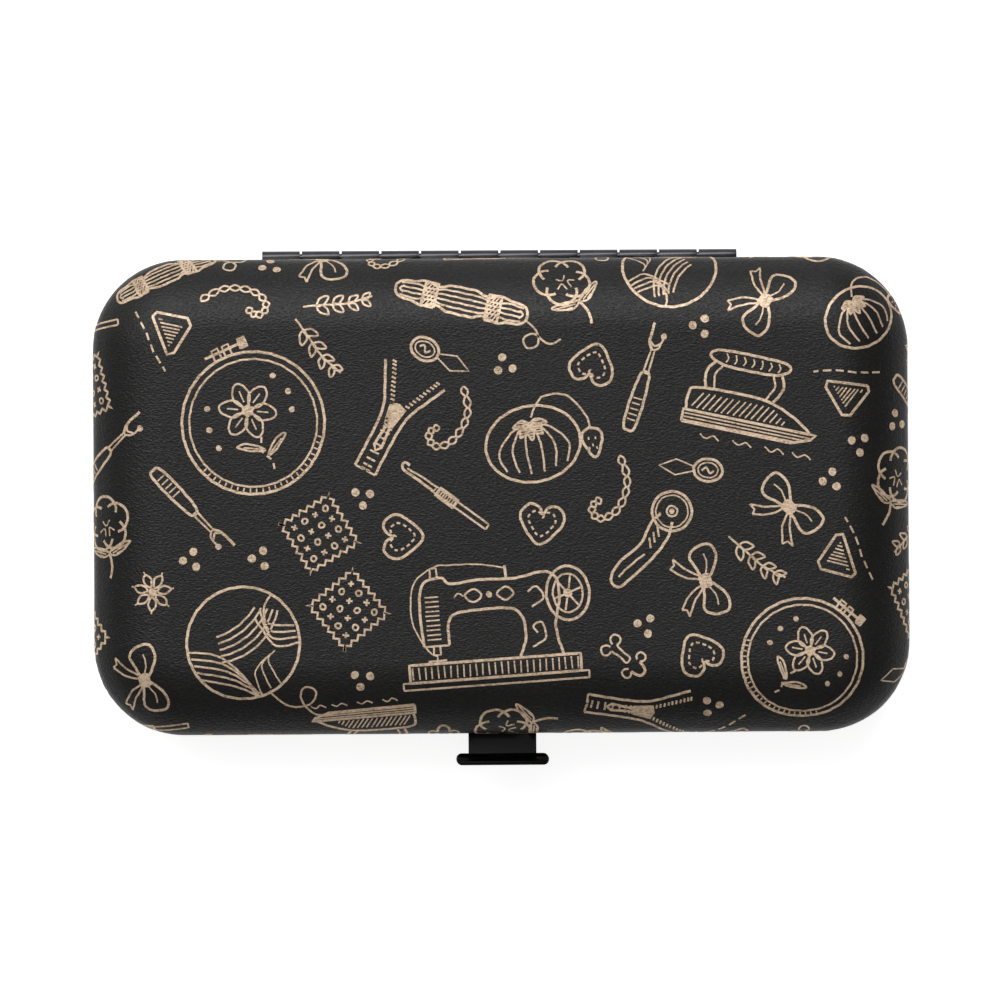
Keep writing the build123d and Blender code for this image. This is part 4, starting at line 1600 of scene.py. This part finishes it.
class TreeWriter(NodeWriter):
    """Geometry Nodes tree with a geometry input and output."""

    def __init__(self, name: str) -> None:
        """Starts a tree of its own."""
        super().__init__(bpy.data.node_groups.new(name, "GeometryNodeTree"))
        self.tree.interface.new_socket("Geometry", in_out="INPUT", socket_type="NodeSocketGeometry")
        self.tree.interface.new_socket("Geometry", in_out="OUTPUT", socket_type="NodeSocketGeometry")
        self.start = self.tree.nodes.new("NodeGroupInput")
        self.end = self.tree.nodes.new("NodeGroupOutput")

    def values(self, **defaults: float) -> list[Socket]:
        """Adds named lengths in metres and the input Finish, and gives the lengths' sockets."""
        for name, default in defaults.items():
            socket = self.tree.interface.new_socket(name, in_out="INPUT", socket_type="NodeSocketFloat")
            socket.default_value = default
        self.tree.interface.new_socket("Finish", in_out="INPUT", socket_type="NodeSocketMaterial")
        return [self.start.outputs[name] for name in defaults]

    def close(self, geometry: Socket) -> bpy.types.NodeTree:
        """Ends the tree in Realize Instances and Set Material.

        Args:
            geometry: The geometry to end with.

        Returns:
            The tree.
        """
        real = self.add("GeometryNodeRealizeInstances", {"Geometry": geometry}).outputs[0]
        finish = self.start.outputs["Finish"]
        dressed = self.add("GeometryNodeSetMaterial", {"Geometry": real, "Material": finish})
        self.feed(self.end, {0: dressed.outputs[0]})
        return self.tree


def grow(piece: Piece, tree: bpy.types.NodeTree, values: dict[str, object]) -> Piece:
    """Runs a tree on a piece and turns the result into a plain mesh.

    Args:
        piece: The object that the tree starts from.
        tree: The Geometry Nodes tree.
        values: The tree's inputs by name.

    Returns:
        The plain mesh object.
    """
    modifier = piece.modifiers.new("grow", "NODES")
    modifier.node_group = tree
    for item in tree.interface.items_tree:
        if item.item_type == "SOCKET" and item.in_out == "INPUT" and item.name in values:
            modifier[item.identifier] = values[item.name]
    return settle(piece)


def route(name: str, lines: Sequence[Sequence[Sequence[float]]]) -> Piece:
    """Poly curves through places in millimetres.

    Args:
        name: The object's name.
        lines: The places on each line.

    Returns:
        The curve object.
    """
    curve = bpy.data.curves.new(name, "CURVE")
    curve.dimensions = "3D"
    for line in lines:
        spline = curve.splines.new("POLY")
        spline.points.add(len(line) - 1)
        for point, place in zip(spline.points, line):
            point.co = (place[0] * MM, place[1] * MM, place[2] * MM, 1.0)
    return link_piece(name, curve)


def thread_tree() -> bpy.types.NodeTree:
    """Tree that lays short rounded stitches along lines.

    Returns:
        The tree, with the stitch's length, spacing and thickness as inputs.
    """
    tree = TreeWriter("sewn_stitches")
    spacing, stitch, thread = tree.values(Spacing=0.0024, Stitch=0.0016, Thread=0.0003)
    along = {"Curve": tree.start.outputs["Geometry"], "Length": spacing}
    spots = tree.add("GeometryNodeCurveToPoints", along, mode="LENGTH")
    bead = tree.add("GeometryNodeMeshUVSphere", {"Segments": 8, "Rings": 6, "Radius": 0.5})
    size = tree.add("ShaderNodeCombineXYZ", {0: thread, 1: thread, 2: stitch})
    swing = {"Min": (-0.09, -0.09, -0.09), "Max": (0.09, 0.09, 0.09), "Seed": 11}
    slack = tree.add("FunctionNodeRandomValue", swing, data_type="FLOAT_VECTOR")
    turn = {"Rotation": spots.outputs["Rotation"], "Rotate By": slack.outputs[0]}
    turned = tree.add("FunctionNodeRotateRotation", turn, rotation_space="LOCAL")
    sewn = {"Points": spots.outputs["Points"], "Instance": bead.outputs["Mesh"]}
    sewn |= {"Rotation": turned.outputs[0], "Scale": size.outputs[0]}
    return tree.close(tree.add("GeometryNodeInstanceOnPoints", sewn).outputs["Instances"])


def sewn(name: str, lines: list[list[Triple]], spacing: float, stitch: float, finish: Finish) -> Piece:
    """Sews stitches along lines.

    Args:
        name: The stitches' name.
        lines: The lines in millimetres.
        spacing: Distance from stitch to stitch.
        stitch: Length of a stitch.
        finish: The thread's finish.

    Returns:
        The stitches.
    """
    values = {"Spacing": spacing * MM, "Stitch": stitch * MM, "Thread": 0.26 * MM, "Finish": finish.material}
    return grow(route(name, lines), thread_tree(), values)


def ribbon_tree() -> bpy.types.NodeTree:
    """Tree that sweeps a low closed foil bead along flat strokes.

    Returns:
        The tree, with the bead's width and height as inputs.
    """
    tree = TreeWriter("foil_strokes")
    width, height = tree.values(Width=0.0004, Height=0.00004)
    box = {"Width": width, "Height": height}
    profile = tree.add("GeometryNodeCurvePrimitiveQuadrilateral", box, mode="RECTANGLE")
    upright = tree.add("GeometryNodeSetCurveNormal", {"Curve": tree.start.outputs["Geometry"]}, mode="Z_UP")
    sweep = {"Curve": upright.outputs[0], "Profile Curve": profile.outputs[0], "Fill Caps": True}
    return tree.close(tree.add("GeometryNodeCurveToMesh", sweep).outputs[0])


# Hardware


@dataclass
class CaseHardware:
    """Frames, hinge, latch and rivets: sheet metal with its edges rounded by pressing and plating."""

    rounding: float = 0.07
    rivet_rounding: float = 0.12
    latch_rounding: float = 0.12
    spring_rounding: float = 0.03
    spring_foot: Triple = (0.0, -36.7, 7.5)
    spring_tip: Triple = (0.0, -36.7, 9.3)
    lip_half: float = 8.25
    lip_inner: float = -45.85
    lip_corner: float = 1.0
    lip_low: float = 11.55
    lip_height: float = 3.5
    room: float = 1.0

    def latch(self) -> None:
        """Softens the latch lever and rounds the inner corners of its lip as well."""
        lever = softened("latch_lever", self.latch_rounding, Finish.LATCH_PLATING)
        low, high = self.lip_low - self.room, self.lip_low + self.lip_height + self.room
        for side in (-1, 1):
            x, y = side * self.lip_half, self.lip_inner
            middle = (x - side * self.lip_corner, y - self.lip_corner)
            bend = arc(middle, self.lip_corner, 90, 90 - side * 90, steps=10)
            outer = x + side * self.room
            outline = [(bend[0][0], y + self.room), *bend, (outer, bend[-1][1]), (outer, y + self.room)]
            lever = cut_prism(lever, outline, low, high)
        hand_over(shade(lever, 50), "latch", "black_metal", "latch_lever")

    def spring(self) -> None:
        """Softens the return spring, hides the CAD spring and bakes the copy's place into its mesh."""
        strip = softened("latch_spring", self.spring_rounding, Finish.SPRING_STEEL)
        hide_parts("latch_spring")
        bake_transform(strip)
        LOG.info("%s: %d faces", strip.name, len(strip.data.polygons))

    def build(self) -> None:
        """Builds all metal pieces."""
        sheet, rivet = self.rounding, self.rivet_rounding
        metal = [
            (f"{half}_{name}", half, finish, width)
            for half in ("lid", "base")
            for name, finish, width in (
                ("frame", Finish.PLATING, sheet),
                ("hinge_leaf", Finish.HINGE_PLATING, sheet),
                ("leaf_rivets", Finish.PLATING, rivet),
            )
        ]
        metal += [
            ("latch_keeper", "lid", Finish.PLATING, sheet),
            ("keeper_rivets", "lid", Finish.PLATING, rivet),
            ("latch_bracket", "base", Finish.PLATING, sheet),
            ("bracket_rivets", "base", Finish.PLATING, rivet),
            ("band_rivets", "base", Finish.PLATING, rivet),
        ]
        for node, body, finish, width in metal:
            hand_over(softened(node, width, finish), body, "black_metal", node)
        self.latch()
        self.spring()
        kept = {"lid_shell": Finish.SHELL, "base_shell": Finish.SHELL}
        kept |= {"hinge_pin": Finish.PIN_STEEL, "latch_pin": Finish.PIN_STEEL}
        for node, finish in kept.items():
            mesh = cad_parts[node].data
            mesh.materials.clear()
            mesh.materials.append(finish.material)
            LOG.info("%s keeps its mesh with %s", node, finish.material.name)


# Soft pieces inside


def heading(start: Point, end: Point) -> Vector:
    """Unit vector from one point to another."""
    return Vector((end[0] - start[0], end[1] - start[1])).normalized()


def card_mesh(name: str, outline: Stroke, low: float, high: float, rounding: float, finish: Finish) -> Piece:
    """Flat card or felt with rounded upper and lower edges.

    Args:
        name: The piece's name.
        outline: Outline, anticlockwise.
        low: Lower level.
        high: Upper level.
        rounding: Radius of the rounded edges.
        finish: The material.

    Returns:
        The closed piece.
    """
    angles = [math.pi / 8 * k for k in range(5)]
    levels = [(rounding * (1 - math.sin(a)), low + rounding * (1 - math.cos(a))) for a in angles]
    levels += [(inset, high - (level - low)) for inset, level in reversed(levels)]
    ways = [heading(*ends) for ends in zip(outline[-1:] + outline[:-1], outline[1:] + outline[:1])]
    points = [
        (x - along.y * inset, y + along.x * inset, level)
        for inset, level in levels
        for (x, y), along in zip(outline, ways)
    ]
    return tidy_mesh(make_piece(name, points, tube_faces(len(levels), len(outline)), finish))


def rounded_outline(
    half_x: float, half_y: float, radius: float, centre: Point = (0, 0), steps: int = 10
) -> Stroke:
    """Outline of a rounded rectangle, anticlockwise.

    Args:
        half_x: Half the length.
        half_y: Half the width.
        radius: Corner radius.
        centre: The centre.
        steps: Steps round a corner.

    Returns:
        The outline's points.
    """
    found: Stroke = []
    for index, (x, y) in enumerate(((1, 1), (-1, 1), (-1, -1), (1, -1))):
        middle = (centre[0] + x * (half_x - radius), centre[1] + y * (half_y - radius))
        found += arc(middle, radius, 90 * index, 90 * (index + 1), steps=steps)
    return found


@dataclass
class ToolBoard:
    """Covered card on the base's floor, with two elastic bands riveted and sewn to it."""

    floor: float = 2.3
    thickness: float = 1.2
    half_length: float = 58.0
    half_width: float = 27.75
    corner: float = 5.0
    band: float = 0.7
    band_width: float = 12.0
    spacing: float = 27.0
    seam: float = 2.6
    end: float = 4.5
    rise: float = 2.4
    loops: tuple[float, ...] = (12.0, 9.0, 9.0, 9.0, 16.0, 9.0, 9.0, 12.0)
    ribs: int = 30
    thread_lift: float = 0.02
    lead: float = 0.3
    finest: float = 0.12
    selvedge: float = 0.6
    end_seam: float = 0.7
    half_seam: float = 0.55

    @property
    def top(self) -> float:
        """Level of the board's upper side."""
        return self.floor + self.thickness

    @property
    def length(self) -> float:
        """Length of a band between its ends."""
        return sum(self.loops) + self.seam * (len(self.loops) - 1) + 2 * self.end

    def spine(self) -> list[Point]:
        """Middle line of a band's section, from end to end."""
        ground = self.band / 2
        points = [(-self.length / 2, ground)]
        left = -self.length / 2 + self.end
        for width in self.loops:
            radius = (width**2 / 4 + self.rise**2) / (2 * self.rise)
            centre = (left + width / 2, self.rise - radius)
            half = math.degrees(math.asin((width / 2) / radius))
            loop = arc(centre, radius - ground, 90 + half, 90 - half, steps=24)
            points += [(left - self.lead, ground), *((x, max(y, ground)) for x, y in loop)]
            points.append((left + width + self.lead, ground))
            left += width + self.seam
        kept = points[:1]
        for point in [*points[1:], (self.length / 2, ground)]:
            if point[0] > kept[-1][0] + self.finest:
                kept.append(point)
        return kept

    def band_piece(self, name: str, centre: float) -> Piece:
        """One elastic band with woven ribs and rounded selvedges.

        Args:
            name: The piece's name.
            centre: The band's place along Y.

        Returns:
            The band.
        """
        spine = self.spine()
        ring: Stroke = []
        for k in range(self.ribs + 1):
            side = math.cos(math.pi * (k / self.ribs))
            edge = math.sqrt(max(1 - abs(side) ** 14, 0.0))
            rib = 0.94 + 0.06 * math.cos(k / self.ribs * self.ribs * math.pi)
            ring.append((-self.band_width / 2 * side, self.band / 2 * edge * rib))
        loop = ring + [(y, -h) for y, h in reversed(ring[1:-1])]
        points = []
        for (x, z), before, after in zip(spine, spine[:1] + spine, spine[1:] + spine[-1:]):
            along = heading(before, after)
            for y, h in loop:
                height = max(z + along.x * h, 0.012 + (h + self.band / 2) * 0.02)
                points.append((x - along.y * h, centre + y, self.top + height))
        band = make_piece(name, points, tube_faces(len(spine), len(loop)), Finish.ELASTIC)
        return tidy_mesh(band, 50, 1e-7)

    def stitch_lines(self, centre: float) -> list[list[Triple]]:
        """Lines of the seams between a band's loops and across its ends."""
        level = self.top + self.band + self.thread_lift
        half = self.band_width / 2 - self.selvedge
        left = -self.length / 2 + self.end
        seams = [-self.length / 2 + self.end_seam]
        for width in self.loops[:-1]:
            left += width
            seams += [left + self.seam / 2 - self.half_seam, left + self.seam / 2 + self.half_seam]
            left += self.seam
        seams.append(self.length / 2 - self.end_seam)
        return [[(x, centre - half, level), (x, centre + half, level)] for x in seams]

    def build(self) -> None:
        """Builds the board, its bands and their stitches."""
        outline = rounded_outline(self.half_length, self.half_width, self.corner)
        board = card_mesh("board_cloth", outline, self.floor, self.top, self.thickness * 0.35, Finish.BOARD)
        hand_over(board, "base", "board_card", "tool_board")
        lines = []
        for node, centre in (("front_band", -self.spacing / 2), ("back_band", self.spacing / 2)):
            hand_over(self.band_piece(f"{node}_elastic", centre), "base", "black_elastic", node)
            lines += self.stitch_lines(centre)
        inset = 1.6
        edge = rounded_outline(self.half_length - inset, self.half_width - inset, self.corner - inset)
        lines.append([(x, y, self.top + self.thread_lift) for x, y in edge + edge[:1]])
        hand_over(sewn("board_stitches", lines, 1.9, 1.35, Finish.GOLD_THREAD), "base", "black_elastic")


@dataclass
class LidPocket:
    """Gathered cloth pocket in the lid with an elastic binding, and the needle felt in front of it."""

    ceiling: float = 22.7
    half_length: float = 54.0
    mouth: float = -1.0
    width: float = 29.0
    height: float = 3.6
    cloth: float = 0.6
    slope: float = 50.0
    corner: float = 6.0
    hem: float = 4.0
    hem_cloth: float = 0.5
    gathers: int = 34
    felt_half: Point = (36.0, 8.0)
    felt_centre: float = -18.0
    felt_thickness: float = 1.4
    pinking: float = 1.6
    bend: float = 3.75
    columns: int = 260
    row_step: float = 0.55
    rest: float = 0.012

    def bulge(self, x: float, y: float, inset: float) -> float:
        """Depth of the pocket's bulge below the ceiling.

        Args:
            x: Place along the case.
            y: Place across the case.
            inset: How far inside the pocket's outside.

        Returns:
            The depth in millimetres.
        """
        room_x, room_y = self.half_length - inset - abs(x), self.width - inset - abs(y - self.mouth)
        if max(room_x, room_y) < self.corner:
            room = self.corner - math.hypot(self.corner - room_x, self.corner - room_y)
        else:
            room = min(room_x, room_y)
        deep = self.height - inset
        share = max(room, 0.0) * math.tan(math.radians(90 - self.slope)) / deep
        return deep * min(share / (1 + share**self.bend) ** (1 / self.bend), 1.0)

    def gather(self, x: float, y: float) -> float:
        """Share of the depth that the gathers draw in, deepest at the mouth."""
        fade = math.exp(-(y - self.mouth) / 9.0)
        wave = math.sin(x * math.pi * self.gathers / (2 * self.half_length) + 0.8 * math.sin(x * 0.21 + 1.0))
        drift = 0.35 * math.sin(x * 0.9 + y * 0.24)
        return fade * (0.5 + 0.5 * wave) * 0.16 + 0.02 * (1 + drift)

    def sheet(self, name: str, start: float, end: float, inset: float, cloth: float, finish: Finish) -> Piece:
        """Closed sheet that follows the pocket's bulge.

        Args:
            name: The piece's name.
            start: Lowest place across the case.
            end: Highest place across the case.
            inset: Inset of the sheet's outside.
            cloth: Thickness.
            finish: The material.

        Returns:
            The sheet.
        """
        columns = self.columns
        rows = max(8, int((end - start) / self.row_step))
        sewn_down = end > self.mouth + self.hem
        shares = [math.sin(math.pi * (column / columns - 0.5) * 0.999) for column in range(1, columns)]
        shares = [-1.0, *shares, 1.0]
        points = []
        for depth in (inset, inset + cloth):
            for row in range(rows + 1):
                y = start + (end - depth * sewn_down - start) * (row / rows)
                past = max(y - (self.mouth + self.width - depth - self.corner), 0.0)
                bend = self.corner - math.sqrt(max(self.corner**2 - past**2, 0.0))
                for x in ((self.half_length - depth - bend) * share for share in shares):
                    deep = self.bulge(x, y, depth) * (1 - self.gather(x, y))
                    points.append((x, y, self.ceiling - max(deep, self.rest if depth == inset else 0.0)))
        wide = columns + 1
        block = wide * (rows + 1)
        starts = [side * block + row * wide for side in (0, 1) for row in range(rows)]
        corners = [first + column for first in starts for column in range(columns)]
        faces = [(corner, corner + 1, corner + wide + 1, corner + wide) for corner in corners]
        border = [*range(columns), *range(columns, block - 1, wide)]
        border += [*range(block - 1, block - wide, -1), *range(block - wide, 0, -wide)]
        for first, second in zip(border, border[1:] + border[:1]):
            faces.append((first, second, block + second, block + first))
        return tidy_mesh(make_piece(name, points, faces, finish), 60, 1e-7)

    def felt_outline(self) -> list[Point]:
        """Outline of the felt with pinked edges."""
        half_x, half_y = self.felt_half
        found: list[Point] = []
        corners = [(half_x, half_y), (-half_x, half_y), (-half_x, -half_y), (half_x, -half_y)]
        for corner, after in zip(corners, corners[1:] + corners[:1]):
            span = math.dist(corner, after)
            count = int(span / self.pinking)
            along = heading(corner, after)
            inward = Vector((-along.y, along.x)) * self.pinking * 0.42
            for tooth in range(count):
                spot = Vector(corner) + along * span * (tooth / count)
                valley = Vector(corner) + along * span * (tooth / count + 0.5 / count) + inward
                found += [(place.x, place.y + self.felt_centre) for place in (spot, valley)]
        return found

    def build(self) -> None:
        """Builds the pocket, its binding, the felt and their stitches."""
        back = self.mouth + self.width
        pocket = self.sheet("pocket_cloth", self.mouth, back, 0.0, self.cloth, Finish.LINING)
        hand_over(pocket, "lid", "black_lining", "slip_pocket")
        end, cloth = self.mouth + self.hem, self.hem_cloth - 0.01
        binding = self.sheet("pocket_binding", self.mouth, end, -self.hem_cloth, cloth, Finish.ELASTIC)
        hand_over(binding, "lid", "black_elastic", "pocket_elastic")
        low, high = self.ceiling - self.felt_thickness, self.ceiling
        felt = card_mesh("needle_felt_leaf", self.felt_outline(), low, high, 0.12, Finish.FELT)
        hand_over(felt, "lid", "felt", "needle_felt")
        self.stitch()

    def stitch(self) -> None:
        """Sews the binding, the pocket's edge and the felt."""
        lines = []
        for y in (self.mouth + 0.8, self.mouth + self.hem - 0.8):
            line = []
            for x in ((self.half_length - 3.0) * (k / 100 - 1) for k in range(201)):
                deep = self.bulge(x, y, -self.hem_cloth) * (1 - self.gather(x, y))
                line.append((x, y, self.ceiling - deep - 0.02))
            lines.append(line)
        hand_over(sewn("pocket_stitches", lines, 2.0, 1.4, Finish.GOLD_THREAD), "lid", "black_elastic")
        half_x, half_y = (half - 2.2 for half in self.felt_half)
        edge = rounded_outline(half_x, half_y, 1.0, (0, self.felt_centre), 4)
        felt_line = [(x, y, self.ceiling - self.felt_thickness - 0.03) for x, y in edge + edge[:1]]
        hand_over(sewn("felt_stitches", [felt_line], 2.0, 1.4, Finish.BLACK_THREAD), "lid", "felt")


# Studio


@dataclass(frozen=True)
class Softbox:
    """One lamp: its place and size in metres, and its power in watts."""

    name: str
    place: Triple
    size: Point
    power: float


@dataclass
class Studio:
    """Camera, floor and lamps of the view."""

    distance: float = 1.6
    roll: float = 0.37
    tilt_x: float = 1.2
    tilt_y: float = 0.9
    body_pixels: float = 815.0
    body_centre: Point = (501.4, 495.6)
    frame_pixels: float = 1000.0
    surround: float = 0.16
    seen_glow: float = 0.82
    mirrored_glow: float = 0.3
    lamps: tuple[Softbox, ...] = (
        Softbox("back_panel", (-0.45, 0.9, 0.9), (2.6, 1.5), 9.0),
        Softbox("high_panel", (-0.2, 0.75, 1.2), (1.6, 0.6), 9.0),
        Softbox("top_fill", (0.0, 0.1, 1.5), (1.0, 1.0), 1.8),
    )

    def camera(self, form: CaseForm) -> None:
        """Places the camera above the case.

        Args:
            form: The case's form.
        """
        data = bpy.data.cameras.new("view")
        data.sensor_width = 36.0
        data.clip_end = 20.0
        lid_top = (2 * form.half_height - form.edge_rise) * MM
        scale = form.length * MM / self.body_pixels
        reach = self.distance - lid_top
        data.lens = data.sensor_width * reach / (scale * self.frame_pixels)
        camera = link_piece("view", data)
        bpy.context.scene.camera = camera
        out_x, out_y = math.radians(self.tilt_x), math.radians(self.tilt_y)
        middle = Vector((0.0, 0.0, lid_top))
        place = middle + Vector((-math.tan(out_x), -math.tan(out_y), 1.0)).normalized() * reach
        look = (middle - place).normalized()
        up = Vector((math.sin(math.radians(self.roll)), math.cos(math.radians(self.roll)), 0.0))
        right = look.cross(up).normalized()
        up = right.cross(look).normalized()
        shift_x = (self.body_centre[0] - self.frame_pixels / 2) * scale
        shift_y = (self.body_centre[1] - self.frame_pixels / 2) * scale
        place = place - right * shift_x + up * shift_y
        camera.matrix_world = Matrix.Translation(place) @ Matrix((right, up, -look)).transposed().to_4x4()

    def area(self, lamp: Softbox) -> None:
        """Adds a softbox that points at the case.

        Args:
            lamp: The softbox.
        """
        data = bpy.data.lights.new(lamp.name, "AREA")
        data.shape = "RECTANGLE"
        data.size, data.size_y = lamp.size
        data.energy = lamp.power
        light = link_piece(lamp.name, data)
        light.location = lamp.place
        light.rotation_euler = (-Vector(lamp.place)).to_track_quat("-Z", "Y").to_euler()

    def floor(self) -> None:
        """Adds the white floor, which keeps the object's shadow."""
        mesh = bpy.data.meshes.new("studio_floor")
        half = 3.0
        corners = [(half * x, half * y, 0) for x, y in ((-1, -1), (1, -1), (1, 1), (-1, 1))]
        mesh.from_pydata(corners, [], [(0, 1, 2, 3)])
        graph = Graph("floor_white")
        path = graph.add("ShaderNodeLightPath")
        mirrored = graph.math("MAXIMUM", path.outputs["Is Glossy Ray"], path.outputs["Is Transmission Ray"])
        glow_seen = graph.math("MULTIPLY", path.outputs["Is Camera Ray"], self.seen_glow)
        strength = graph.math("MAXIMUM", glow_seen, graph.math("MULTIPLY", mirrored, self.mirrored_glow))
        mesh.materials.append(graph.finish(Base_Color=(0.8, 0.8, 0.8, 1.0), Roughness=0.9))
        glow = graph.add("ShaderNodeEmission", {"Color": (1, 1, 1, 1), "Strength": strength})
        total = graph.add("ShaderNodeAddShader", {0: graph.shader.outputs[0], 1: glow.outputs[0]})
        graph.feed(graph.output, {"Surface": total.outputs[0]})
        link_piece("studio_floor", mesh)

    def world(self) -> None:
        """Soft even surround, white where the camera sees it."""
        world = bpy.data.worlds.new("studio")
        bpy.context.scene.world = world
        world.use_nodes = True
        sky = NodeWriter(world.node_tree)
        seen = sky.add("ShaderNodeLightPath").outputs["Is Camera Ray"]
        pick = sky.add("ShaderNodeMapRange", {"Value": seen, "To Min": self.surround, "To Max": 1.0})
        inputs = {"Color": (1, 1, 1, 1), "Strength": pick.outputs["Result"]}
        sky.feed(world.node_tree.nodes["Background"], inputs)

    def build(self, form: CaseForm) -> None:
        """Builds the camera, the floor and the lamps.

        Args:
            form: The case's form.
        """
        bpy.context.scene.view_settings.view_transform = "Standard"
        self.camera(form)
        self.floor()
        self.world()
        for lamp in self.lamps:
            self.area(lamp)
        LOG.info("studio built")


def main() -> None:
    """Builds the whole case in order."""
    logging.basicConfig(level=logging.INFO, format="%(name)s: %(message)s")
    form = CaseForm(145.0, 84.5, 12.5)
    Studio().build(form)
    for half in Half:
        LeatherShell(form, half).build()
    CaseHardware().build()
    ToolBoard().build()
    LidPocket().build()
    FoilPrint(form).build()


if __name__ == "__main__":
    main()
